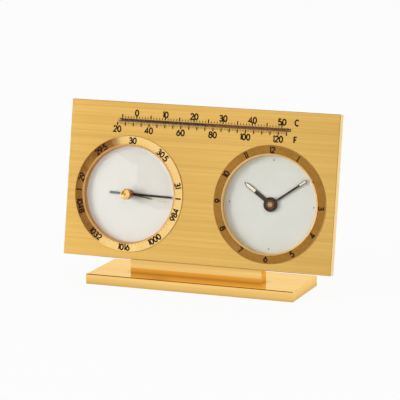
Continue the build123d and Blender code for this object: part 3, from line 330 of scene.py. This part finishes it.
class Nodes:
    """A material's node tree with short ways to add and join nodes."""

    def __init__(self, name):
        self.material = bpy.data.materials.new(name)
        self.material.use_nodes = True
        self.tree = self.material.node_tree
        self.shader = self.tree.nodes["Principled BSDF"]
        self.output = self.tree.nodes["Material Output"]

    def new(self, kind, **values):
        """A node with values for its inputs and properties."""
        node = self.tree.nodes.new(kind)
        for key, value in values.items():
            if key in node.inputs:
                node.inputs[key].default_value = value
            else:
                setattr(node, key, value)
        return node

    def join(self, source, target):
        """A link between two sockets."""
        self.tree.links.new(source, target)

    def noise(self, stretch, scale, detail=4.0, roughness=0.55):
        """Noise in the object's own space, in metres, stretched by three factors."""
        place = self.new("ShaderNodeTexCoord")
        mapping = self.new("ShaderNodeMapping")
        mapping.inputs["Scale"].default_value = stretch
        noise = self.new("ShaderNodeTexNoise", Scale=scale, Detail=detail, Roughness=roughness)
        self.join(place.outputs["Object"], mapping.inputs["Vector"])
        self.join(mapping.outputs["Vector"], noise.inputs["Vector"])
        return noise.outputs["Fac"]

    def ramp(self, factor, *stops):
        """A colour ramp from (position, colour) stops."""
        ramp = self.new("ShaderNodeValToRGB")
        elements = ramp.color_ramp.elements
        while len(elements) < len(stops):
            elements.new(0.5)
        for element, (position, colour) in zip(elements, stops):
            element.position = position
            element.color = colour
        self.join(factor, ramp.inputs["Fac"])
        return ramp.outputs["Color"]

    def spread(self, factor, low, high):
        """A factor's middle range spread between two values."""
        spread = self.new("ShaderNodeMapRange")
        spread.inputs["From Min"].default_value = noise_low
        spread.inputs["From Max"].default_value = noise_high
        spread.inputs["To Min"].default_value = low
        spread.inputs["To Max"].default_value = high
        self.join(factor, spread.inputs["Value"])
        return spread.outputs["Result"]

    def bump(self, height, strength, distance):
        """Relief in the surface's normal."""
        bump = self.new("ShaderNodeBump", Strength=strength, Distance=distance)
        self.join(height, bump.inputs["Height"])
        self.join(bump.outputs["Normal"], self.shader.inputs["Normal"])

    def tarnish(self, colour, corner_shade):
        """Painted shade: a colour that turns to a shade colour near inner corners, where shade falls."""
        # Painted shade: ambient occlusion blends in the shade colour near inner corners
        near = self.new("ShaderNodeAmbientOcclusion", samples=8, Distance=corner_shade_reach)
        share = self.new("ShaderNodeMapRange")
        share.inputs["From Min"].default_value = corner_shade_full
        share.inputs["From Max"].default_value = corner_shade_none
        self.join(near.outputs["AO"], share.inputs["Value"])
        # A Mix node's colours are its inputs 6 and 7 and its output 2
        blend = self.new("ShaderNodeMix", data_type="RGBA")
        self.join(share.outputs["Result"], blend.inputs["Factor"])
        blend.inputs[6].default_value = corner_shade
        self.join(colour, blend.inputs[7])
        return blend.outputs[2]

    def set(self, **values):
        """Values for the shader's own sockets."""
        for key, value in values.items():
            self.shader.inputs[key.replace("_", " ")].default_value = value


def worked_metal(name, dark, light, smooth, rough, grain=(200, 200, 200), bump=0.1, edge=None, corner_shade=None):
    """Metal with a grain: its colour, roughness and surface vary along fine lines.

    An edge colour tints it where it is seen edge on, and a painted shade colour darkens it near inner
    corners.
    """
    nodes = Nodes(name)
    fine = nodes.noise(grain, 1.0, detail=5.0, roughness=0.65)
    broad = nodes.noise(tuple(value / broad_grain for value in grain), 1.0, detail=2.0)
    mix = nodes.new("ShaderNodeMix", data_type="FLOAT")
    mix.inputs["Factor"].default_value = broad_share
    nodes.join(fine, mix.inputs["A"])
    nodes.join(broad, mix.inputs["B"])
    colour = nodes.ramp(mix.outputs["Result"], *zip(metal_levels, (dark, light)))
    if corner_shade:
        colour = nodes.tarnish(colour, corner_shade)
    nodes.join(colour, nodes.shader.inputs["Base Color"])
    nodes.join(nodes.spread(fine, smooth, rough), nodes.shader.inputs["Roughness"])
    nodes.bump(fine, bump, grain_depth)
    nodes.set(Metallic=1.0)
    if edge:
        nodes.set(Specular_Tint=edge)
    return nodes.material


def banded(name, centre, bands, metallic, roughness):
    """A finish whose colour goes by the distance from a centre: bands of (millimetres, colour)."""
    nodes = Nodes(name)
    place = nodes.new("ShaderNodeTexCoord")
    span = nodes.new("ShaderNodeVectorMath", operation="DISTANCE")
    nodes.join(place.outputs["Object"], span.inputs[0])
    span.inputs[1].default_value = centre
    reach = nodes.new("ShaderNodeMapRange")
    reach.inputs["From Max"].default_value = bands[-1][0] * MM
    nodes.join(span.outputs["Value"], reach.inputs["Value"])
    stops = [(distance / bands[-1][0], colour) for distance, colour in bands]
    nodes.join(nodes.ramp(reach.outputs["Result"], *stops), nodes.shader.inputs["Base Color"])
    mottle = nodes.noise((1, 1, 1), fine_speckle)
    nodes.join(nodes.spread(mottle, roughness - roughness_play, roughness + roughness_play),
               nodes.shader.inputs["Roughness"])
    nodes.set(Metallic=metallic)
    return nodes.material


def paint(name, dark, light, roughness, speckle=fine_speckle, gloss=0.5):
    """Even paint or print with a slight mottle."""
    nodes = Nodes(name)
    mottle = nodes.noise((1, 1, 1), speckle, detail=2.0)
    nodes.join(nodes.ramp(mottle, *zip(paint_levels, (dark, light))), nodes.shader.inputs["Base Color"])
    nodes.set(Roughness=roughness, Specular_IOR_Level=gloss)
    return nodes.material


def felt_material():
    """Dark green felt with fibres a few tenths of a millimetre high."""
    nodes = Nodes("felt")
    fibres = nodes.noise((1, 1, 1), 2600.0, detail=6.0)
    nodes.join(nodes.ramp(fibres, *zip(paint_levels, (srgb(22, 38, 26), srgb(44, 66, 48)))),
               nodes.shader.inputs["Base Color"])
    nodes.bump(fibres, 0.8, 0.0003)
    nodes.set(Roughness=0.95)
    return nodes.material


def glass_material(name, tint, gloss):
    """Glass with a share of plain glass's gloss; shadows pass through it."""
    nodes = Nodes(name)
    smudge = nodes.noise((1, 1, 1), 60.0, detail=2.0)
    nodes.join(nodes.spread(smudge, 0.0, 0.03), nodes.shader.inputs["Roughness"])
    nodes.set(Base_Color=tint, Transmission_Weight=1.0, IOR=1.46, Specular_Tint=(gloss, gloss, gloss, 1))
    clear = nodes.new("ShaderNodeBsdfTransparent")
    clear.inputs["Color"].default_value = tint
    path = nodes.new("ShaderNodeLightPath")
    mix = nodes.new("ShaderNodeMixShader")
    nodes.join(path.outputs["Is Shadow Ray"], mix.inputs["Fac"])
    nodes.join(nodes.shader.outputs["BSDF"], mix.inputs[1])
    nodes.join(clear.outputs["BSDF"], mix.inputs[2])
    nodes.join(mix.outputs["Shader"], nodes.output.inputs["Surface"])
    return nodes.material


brushed_brass = worked_metal("brushed_brass", srgb(192, 153, 79), srgb(210, 172, 97),
                             smooth=0.34, rough=0.44, grain=(9, 2600, 2600), bump=0.2)
# Side faces of the front plate: a smoother finish, and a lighter colour that is painted sheen
plate_edge_sheen = worked_metal("plate_edge_sheen", srgb(242, 204, 124), srgb(252, 218, 142), smooth=0.22, rough=0.32)
# Painted shade: the base and the bar turn darker near the line where they meet
base_brass = worked_metal("base_brass", srgb(240, 194, 112), srgb(254, 212, 132),
                          smooth=0.03, rough=0.07, grain=(10, 500, 500), bump=0.03,
                          edge=srgb(255, 242, 212), corner_shade=srgb(208, 166, 88))
# Painted shade: the knob turns dark brown near the glass and its bush
polished_brass = worked_metal("polished_brass", srgb(236, 188, 106), srgb(250, 210, 132),
                              smooth=0.06, rough=0.12, bump=0.03, corner_shade=srgb(70, 32, 8))
polished_ring = worked_metal("polished_ring", srgb(242, 202, 126), srgb(252, 217, 143),
                             smooth=0.04, rough=0.09, grain=(120, 120, 120), bump=0.03)
# Painted shade: a darker brown copy of the ring's brass for the barometer ring's bevels and rim
barometer_bevel_shade = worked_metal("barometer_bevel_shade", srgb(206, 150, 84), srgb(226, 172, 104), smooth=0.3, rough=0.4)
# Painted highlight: a lighter copy of the bronze for the clock ring's chamfers and rim
clock_bevel_highlight = worked_metal("clock_bevel_highlight", srgb(214, 176, 114), srgb(230, 192, 130),
                               smooth=0.4, rough=0.5)
bronze_ring = worked_metal("bronze_ring", srgb(134, 95, 40), srgb(156, 113, 52),
                           smooth=0.42, rough=0.5, grain=(700, 700, 700), bump=0.15)
movement_brass = worked_metal("movement_brass", srgb(196, 158, 88), srgb(226, 190, 118),
                              smooth=0.22, rough=0.34, grain=(300, 300, 300))
case_metal = worked_metal("case_metal", srgb(190, 156, 96), srgb(216, 184, 122), smooth=0.26, rough=0.38)
# Painted shade: a darker brown copy of the knob's brass for its sides, also the colour of its bush
knob_shade_and_bush = worked_metal("knob_shade_and_bush", srgb(146, 88, 38), srgb(176, 114, 56), smooth=0.12, rough=0.2)
key_brass = worked_metal("key_brass", srgb(214, 172, 96), srgb(236, 200, 124), smooth=0.16, rough=0.26)
steel = worked_metal("steel", srgb(150, 150, 150), srgb(186, 186, 184),
                     smooth=0.25, rough=0.38, grain=(400, 400, 400))
spring_steel = worked_metal("spring_steel", srgb(120, 122, 128), srgb(158, 160, 166),
                            smooth=0.2, rough=0.3, grain=(500, 500, 500), bump=0.05)
capsule_silver = worked_metal("capsule_silver", srgb(186, 188, 190), srgb(212, 214, 216),
                              smooth=0.2, rough=0.3, grain=(300, 300, 300), bump=0.05)
wall_amber = worked_metal("wall_amber", srgb(226, 170, 106), srgb(242, 188, 124), smooth=0.4, rough=0.5)
wall_gold = paint("wall_gold", srgb(238, 202, 140), srgb(248, 214, 154), roughness=0.5)
dial_white = paint("dial_white", srgb(234, 234, 226), srgb(237, 237, 229),
                   roughness=0.5, speckle=broad_speckle, gloss=0.2)
dial_grey = paint("dial_grey", srgb(220, 222, 213), srgb(224, 226, 218),
                  roughness=0.5, speckle=broad_speckle, gloss=0.2)
hand_black = paint("hand_black", srgb(52, 37, 16), srgb(76, 56, 28), roughness=0.35, gloss=0.15)
ink = paint("ink", srgb(34, 14, 2), srgb(48, 22, 8), roughness=0.6, gloss=0.1)
fine_ink = paint("fine_ink", srgb(66, 34, 8), srgb(84, 48, 16), roughness=0.6, gloss=0.1)
dot_ink = paint("dot_ink", srgb(78, 78, 72), srgb(96, 96, 90), roughness=0.6)
luminous = paint("luminous", srgb(240, 232, 204), srgb(248, 242, 220), roughness=0.6)
# Brown of the strip in the thermometer tube: painted shade
tube_shade_paint = paint("tube_shade_paint", srgb(126, 78, 48), srgb(146, 96, 64), roughness=0.5)
fluid = paint("fluid", srgb(22, 16, 44), srgb(34, 26, 62), roughness=0.25)
felt = felt_material()
clear_glass = glass_material("clear_glass", tint=WHITE, gloss=0.25)
plain_glass = glass_material("plain_glass", tint=WHITE, gloss=1.0)
tube_glass = glass_material("tube_glass", tint=srgb(252, 246, 240), gloss=0.15)

# Rings of colour on the nut of the clock hands, by distance from its middle: near white at the middle, then
# dark and light bands
hub_bronze = banded("hub_bronze", at(CLOCK, 0, 0, top_level("hand_nut", CLOCK)), (
    (0.0, srgb(255, 240, 196)), (0.35, srgb(244, 214, 154)), (0.5, srgb(58, 36, 16)), (0.8, srgb(62, 38, 18)),
    (1.0, srgb(220, 184, 122)), (1.3, srgb(190, 152, 94)), (1.5, srgb(84, 56, 28)),
    (2.5, srgb(100, 68, 34)), (2.7, srgb(34, 20, 8)), (4.5, srgb(58, 38, 16))),
    metallic=0.8, roughness=0.35)
# Painted reflection: the glass's grey-blue glare over the needle's tail, and the needle's own black on its
# long arm
needle_black_and_glare = banded("needle_black_and_glare", BAROMETER - ACROSS * glare_origin * MM, (
    (0.0, srgb(40, 46, 66)), (4.0, srgb(88, 102, 128)), (11.0, srgb(70, 82, 106)), (14.0, srgb(10, 6, 8)),
    (60.0, srgb(14, 9, 10))),
    metallic=0.0, roughness=0.4)
# The set hand is brown near its middle, painted shadow of the knob, and pale gold at its end, painted
# reflection
set_hand_shade_and_glint = banded("set_hand_shade_and_glint", BAROMETER, (
    (0.0, srgb(88, 62, 36)), (13.5, srgb(92, 66, 40)), (15.5, srgb(228, 218, 176)),
    (40.0, srgb(232, 222, 182))),
    metallic=0.6, roughness=0.3)

DRESS = {
    brushed_brass: ["front_plate"],
    base_brass: ["base_slab", "support_bar"],
    polished_brass: ["set_knob"],
    knob_shade_and_bush: ["set_bush"],
    set_hand_shade_and_glint: ["set_hand"],
    polished_ring: ["barometer_ring"],
    bronze_ring: ["clock_ring"],
    felt: ["base_felt"],
    steel: ["stand_screws", "small_screws", "tube_clips"],
    plain_glass: ["barometer_glass"],
    clear_glass: ["clock_glass"],
    tube_glass: ["thermometer_tube"],
    fluid: ["thermometer_fluid"],
    wall_gold: ["dial_walls"],
    dial_white: ["barometer_dial"],
    dial_grey: ["clock_dial"],
    case_metal: ["barometer_case", "clock_case", "barometer_cover", "clock_cover"],
    key_brass: ["winding_key", "setting_knob"],
    hub_bronze: ["hand_nut"],
    hand_black: ["hour_hand", "minute_hand"],
    needle_black_and_glare: ["barometer_needle"],
    capsule_silver: ["aneroid_capsule"],
    spring_steel: ["needle_hairspring", "balance_spring", "needle_arbor", "rocking_shaft", "capsule_post",
                   "cannon_pinion", "mainspring", "barrel_arbor", "ratchet_wheel", "click", "pallet_fork",
                   "regulator_lever"],
}
dressed = {node: material for material, names in DRESS.items() for node in names}
for node, piece in frame["nodes"].items():
    piece.data.materials.clear()
    piece.data.materials.append(dressed.get(node, movement_brass))


def second_finish(node, material, chosen):
    """Gives a CAD node another finish on the faces that a test on centre and normal picks."""
    mesh = frame["nodes"][node].data
    mesh.materials.append(material)
    for polygon in mesh.polygons:
        if chosen(polygon.center, polygon.normal):
            polygon.material_index = len(mesh.materials) - 1


# A face is flat or a side by the cosine between its normal and the dials' direction. Of the two
# wall rings, the barometer's is the one left of the middle.
flat_share = 0.98
side_share = 0.3
# Painted sheen: the plate's side faces get the lighter brass
second_finish("front_plate", plate_edge_sheen, lambda point, normal: abs(normal.dot(OUT)) < side_share)
# Painted highlight on the clock ring's chamfers and rim
second_finish("clock_ring", clock_bevel_highlight, lambda point, normal: abs(normal.dot(OUT)) < flat_share)
# Painted shade on the barometer ring's bevels and rim
second_finish("barometer_ring", barometer_bevel_shade, lambda point, normal: abs(normal.dot(OUT)) < flat_share)
second_finish("dial_walls", wall_amber, lambda point, normal: point.x < 0)
# Painted shade on the knob's side faces
second_finish("set_knob", knob_shade_and_bush, lambda point, normal: abs(normal.dot(OUT)) < side_share)

# ---------------------------------------------------------------- thermometer scales
plate_level = 0.0
thermometer = Print(TUBE, plate_level)
for mark in range(0, 60, 10):
    write(thermometer, str(mark), numeral_height,
          straight(celsius_zero + mark * celsius_step, celsius_numeral_rise))
for mark in range(20, 140, 20):
    write(thermometer, str(mark), numeral_height,
          straight(fahrenheit_twenty + (mark - 20) * fahrenheit_step, -fahrenheit_numeral_drop))
write(thermometer, "C", numeral_height, straight(celsius_letter, celsius_numeral_rise))
write(thermometer, "F", numeral_height, straight(fahrenheit_letter, -fahrenheit_numeral_drop))
for mark in range(-5, 55, 5):
    x = celsius_zero + mark * celsius_step
    thermometer.stroke([(x, tube_clear), (x, tube_clear + long_tick)], tick_width)
for mark in range(20, 130, 5):
    x = fahrenheit_twenty + (mark - 20) * fahrenheit_step
    thermometer.stroke([(x, -tube_clear), (x, -tube_clear - long_tick)], tick_width)
thermometer.mesh("thermometer_scale", ink, "stand")

fine_scale = Print(TUBE, plate_level)
for mark in range(-5, 51):
    if mark % 5:
        x = celsius_zero + mark * celsius_step
        fine_scale.stroke([(x, tube_clear), (x, tube_clear + short_tick)], fine_width)
for mark in range(20, 126):
    if mark % 5:
        x = fahrenheit_twenty + (mark - 20) * fahrenheit_step
        fine_scale.stroke([(x, -tube_clear), (x, -tube_clear - short_tick)], faint_width)
fine_scale.mesh("thermometer_fine_scale", fine_ink, "stand")

# A brown strip behind the bore, painted shade seen through the glass where the column doesn't stand in front
strip = []
for x in shade_strip_ends:
    for step in range(shade_strip_steps + 1):
        turn = pi * step / shade_strip_steps
        strip.append(at(TUBE, x, shade_strip_radius * cos(turn), tube_rise - shade_strip_radius * sin(turn)))
row = shade_strip_steps + 1
new_mesh("tube_shade_strip", strip, [[i, i + 1, i + row + 1, i + row] for i in range(shade_strip_steps)],
         tube_shade_paint, "stand")

# ---------------------------------------------------------------- barometer scale
ring_level = top_level("barometer_ring", BAROMETER)
barometer_scale = Print(BAROMETER, ring_level)
for text, angle in inch_angles.items():
    write(barometer_scale, text, ring_numeral_height, around(angle, ring_numeral_radius))
for text, angle in millibar_angles.items():
    write(barometer_scale, text, ring_numeral_height, around(angle, ring_numeral_radius, inward=True))
for angle in ring_tick_angles:
    barometer_scale.stroke(
        ray(angle, ring_numeral_radius - ring_tick / 2, ring_numeral_radius + ring_tick / 2), stroke)
barometer_scale.mesh("barometer_numerals", ink, "stand")

# Small dots along the inner edge: every twentieth of an inch, and every second millibar
graduations = Print(BAROMETER, ring_level)
for count, start, end in ((inch_steps, inch_angles["29"] - 360, inch_angles["31"]),
                          (millibar_steps, millibar_angles["984"], millibar_angles["1048"])):
    for step in range(count + 1):
        x, y = ray(start + (end - start) * step / count, graduation_radius, graduation_radius)[0]
        graduations.dot(x, y, graduation_dot, graduation_sides)
graduations.mesh("barometer_graduations", fine_ink, "stand")

# The needle: a flat blade that stays broad to its point, with a hub that stands higher
needle_mesh = frame["nodes"]["barometer_needle"].data
needle_reach = max((v.co - BAROMETER).cross(OUT).length for v in needle_mesh.vertices) / MM
needle_low = min((v.co - BAROMETER).dot(OUT) for v in needle_mesh.vertices) / MM
needle_high = top_level("barometer_needle", BAROMETER)
half_span = degrees(asin(needle_root / needle_hub))
outline = [
    (-needle_back, -needle_root),
    *arc(0, 0, needle_hub, needle_hub, half_span - 180, -half_span),
    (needle_reach - needle_point, -needle_neck),
    (needle_reach, 0),
    (needle_reach - needle_point, needle_neck),
    *arc(0, 0, needle_hub, needle_hub, half_span, 180 - half_span),
    (-needle_back, needle_root),
]
hub = loop(0, 0, needle_hub, needle_hub)
needle = Print(BAROMETER, 0)
needle.low, needle.high = needle_low, (needle_low + needle_high) / 2
needle.add(turned(outline, needle_angle), [list(range(len(outline)))])
needle.low, needle.high = needle.high, needle_high + ink_proud
needle.add(hub, [list(range(len(hub)))])
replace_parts(needle.mesh("needle_blade", needle_black_and_glare, "needle"), "barometer_needle")

# ---------------------------------------------------------------- clock scale
clock_ring_level = top_level("clock_ring", CLOCK)
clock_scale = Print(CLOCK, clock_ring_level)
for hour in upright_hours:
    write(clock_scale, str(hour), ring_numeral_height, around(30 * hour, ring_numeral_radius))
for hour in inward_hours:
    write(clock_scale, str(hour), ring_numeral_height, around(30 * hour, ring_numeral_radius, inward=True))
# Where the 2 would stand, only a worn mark is left
x, y = ray(worn_mark_angle, worn_mark_radius, worn_mark_radius)[0]
clock_scale.dot(x, y, worn_mark_dot)
clock_scale.mesh("clock_numerals", ink, "stand")

minute_dots = Print(CLOCK, clock_ring_level)
for minute in range(60):
    x, y = ray(6 * minute, graduation_radius, graduation_radius)[0]
    minute_dots.dot(x, y, graduation_dot, graduation_sides)
minute_dots.mesh("clock_minute_dots", fine_ink, "stand")

dial_dots = Print(CLOCK, top_level("clock_dial", CLOCK))
for angle in range(0, 360, 90):
    x, y = ray(angle, dial_dot_radius, dial_dot_radius)[0]
    dial_dots.dot(x, y, dial_dot)
dial_dots.mesh("clock_dial_dots", dot_ink, "stand")


def luminous_strip(name, node, body, angle, sizes):
    """A pale strip that fills the slot of a clock hand, just below its face."""
    start, shoulder, tip, half = sizes
    strip = Print(CLOCK, top_level(node, CLOCK) - 2 * ink_proud)
    outline = [(start, -half), (shoulder, -half), (tip, 0), (shoulder, half), (start, half)]
    strip.add(turned(outline, angle), [list(range(len(outline)))])
    strip.mesh(name, luminous, body)


luminous_strip("hour_strip", "hour_hand", "hour", hour_angle, hour_strip)
luminous_strip("minute_strip", "minute_hand", "minute", minute_angle, minute_strip)


# ---------------------------------------------------------------- floor and light
SQUARE = ((-1, -1), (1, -1), (1, 1), (-1, 1))
floor_half = 6.0
paper_white = 0.92
sky_light = 0.7
object_middle = (0, 0, 0.05)


def white_rays(tree):
    """1 for rays from the camera, off shiny surfaces and through glass, and 0 for the rest."""
    rays = tree.nodes.new("ShaderNodeLightPath")
    seen = rays.outputs["Is Camera Ray"]
    for kind in ("Is Glossy Ray", "Is Transmission Ray"):
        either = tree.nodes.new("ShaderNodeMath")
        either.operation = "MAXIMUM"
        tree.links.new(seen, either.inputs[0])
        tree.links.new(rays.outputs[kind], either.inputs[1])
        seen = either.outputs["Value"]
    return seen


def floor_material():
    """White paper: what the camera and reflections see is near white, and it keeps its shadow."""
    nodes = Nodes("paper")
    nodes.set(Base_Color=(0.9, 0.9, 0.9, 1), Roughness=0.9)
    glow = nodes.new("ShaderNodeEmission", Color=WHITE, Strength=1.0)
    share = nodes.new("ShaderNodeMath", operation="MULTIPLY")
    share.inputs[1].default_value = paper_white
    nodes.join(white_rays(nodes.tree), share.inputs[0])
    mix = nodes.new("ShaderNodeMixShader")
    nodes.join(share.outputs["Value"], mix.inputs["Fac"])
    nodes.join(nodes.shader.outputs["BSDF"], mix.inputs[1])
    nodes.join(glow.outputs["Emission"], mix.inputs[2])
    nodes.join(mix.outputs["Shader"], nodes.output.inputs["Surface"])
    return nodes.material


def sheet(name, corners, material):
    """A flat polygon that isn't part of the object."""
    mesh = bpy.data.meshes.new(name)
    mesh.from_pydata(corners, [], [tuple(range(len(corners)))])
    mesh.materials.append(material)
    card = bpy.data.objects.new(name, mesh)
    bpy.context.scene.collection.objects.link(card)
    return card


def rectangle(centre, normal, width, height):
    """Corners of a rectangle that faces along a normal."""
    centre, normal = Vector(centre), Vector(normal).normalized()
    side = Vector((0, 0, 1)).cross(normal).normalized()
    rise = normal.cross(side)
    return [centre + side * x * width / 2 + rise * y * height / 2 for x, y in SQUARE]


def card_material(name, dark, light):
    """A plain card that gives back an even, slightly mottled light of its own."""
    nodes = Nodes(name)
    glow = nodes.new("ShaderNodeEmission", Strength=1.0)
    mottle = nodes.noise((1, 1, 1), 3.0, detail=2.0)
    nodes.join(nodes.ramp(mottle, *zip(paint_levels, (dark, light))), glow.inputs["Color"])
    nodes.join(glow.outputs["Emission"], nodes.output.inputs["Surface"])
    return nodes.material


def reflection_card(name, corners, material):
    """A card that only shiny pieces see."""
    card = sheet(name, corners, material)
    card.visible_camera = False
    card.visible_diffuse = False
    card.visible_shadow = False


sheet("floor", [(x * floor_half, y * floor_half, 0) for x, y in SQUARE], floor_material())
dark_board = card_material("dark_board", srgb(122, 90, 52), srgb(138, 104, 64))
pale_board = card_material("pale_board", srgb(176, 146, 108), srgb(188, 158, 120))
reflection_card("right_board", rectangle(centre=(1.3, -0.45, 0.15), normal=(-1, 0.35, 0),
                                         width=0.9, height=0.7), pale_board)
reflection_card("shoulder_board", rectangle(centre=(0.9, -0.35, 0.75), normal=(-0.75, 0.3, -0.6),
                                            width=1.2, height=0.8), dark_board)
reflection_card("top_board", rectangle(centre=(-0.5, -0.3, 1.4), normal=(0.35, 0.2, -0.9),
                                       width=0.9, height=0.9), dark_board)

# Two boards close by, drawn in millimetres as they are mirrored in the barometer: one in the left
# part of the polished ring, the other in the upper right of the glass. They stand where the light
# that the camera sees in the dial comes from, and the scale makes up for their distance.
mirror_centre = Vector((-0.1575, -0.2832, 0.0898))
mirror_scale = 1.225
ring_inner = 28.2
ring_shade = [*arc(0, 0, ring_inner, ring_inner, 107, 233),
              (-25.0, -35.0), (-95.0, -35.0), (-95.0, 90.0), (-28.0, 90.0)]
glass_shade = [(3.2, 17.6), (-1.6, 18.6), (-11.6, 24.6), (-5.0, 26.8), (6.0, 26.6), (16.0, 21.0),
               (22.5, 13.0), (25.4, 4.0), (25.4, -6.5), (18.0, -7.5), (6.0, -4.5), (-2.0, -1.0), (3.0, 8.0)]
for name, outline in (("ring_shade", ring_shade), ("glass_shade", glass_shade)):
    corners = [mirror_centre + (ACROSS * x + UP * y) * mirror_scale * MM for x, y in outline]
    reflection_card(name, corners, dark_board)

# The world is white to the camera, shiny surfaces and glass, and lights the rest more softly
scene = bpy.context.scene
world = bpy.data.worlds.new("studio")
scene.world = world
world.use_nodes = True
tree = world.node_tree
sky = tree.nodes["Background"]
sky.inputs["Color"].default_value = WHITE
sky.inputs["Strength"].default_value = sky_light
white = tree.nodes.new("ShaderNodeBackground")
white.inputs["Color"].default_value = WHITE
white.inputs["Strength"].default_value = 1.0
blend = tree.nodes.new("ShaderNodeMixShader")
tree.links.new(white_rays(tree), blend.inputs["Fac"])
tree.links.new(sky.outputs["Background"], blend.inputs[1])
tree.links.new(white.outputs["Background"], blend.inputs[2])
tree.links.new(blend.outputs["Shader"], tree.nodes["World Output"].inputs["Surface"])


def softbox(name, place, aim, width, height, power):
    """A soft rectangular lamp that looks at a point."""
    lamp = bpy.data.lights.new(name, "AREA")
    lamp.shape = "RECTANGLE"
    lamp.size = width
    lamp.size_y = height
    lamp.energy = power
    holder = bpy.data.objects.new(name, lamp)
    holder.location = place
    holder.rotation_euler = (Vector(aim) - Vector(place)).to_track_quat("-Z", "Y").to_euler()
    scene.collection.objects.link(holder)


softbox("key", (-0.9, -0.96, 0.3), object_middle, width=0.5, height=0.7, power=5.5)
softbox("fill", (1.1, -0.8, 0.8), object_middle, width=0.8, height=0.8, power=1.5)

# ---------------------------------------------------------------- camera at the photograph's viewpoint
image_pixels = 400
focal_pixels = 2282.15
camera_azimuth = radians(21.0)
camera_elevation = radians(11.4)
camera_distance = 1.3208
aim = Vector((-0.00076, 0, 0.05058))
back = Vector((
    sin(camera_azimuth) * cos(camera_elevation),
    -cos(camera_azimuth) * cos(camera_elevation),
    sin(camera_elevation),
))
lens = bpy.data.cameras.new("camera")
lens.sensor_width = 36
lens.lens = focal_pixels / image_pixels * lens.sensor_width
lens.clip_start = 0.05
lens.clip_end = 50
camera = bpy.data.objects.new("camera", lens)
camera.location = aim + back * camera_distance
camera.rotation_euler = (-back).to_track_quat("-Z", "Y").to_euler()
scene.collection.objects.link(camera)
scene.camera = camera
scene.view_settings.view_transform = "Standard"
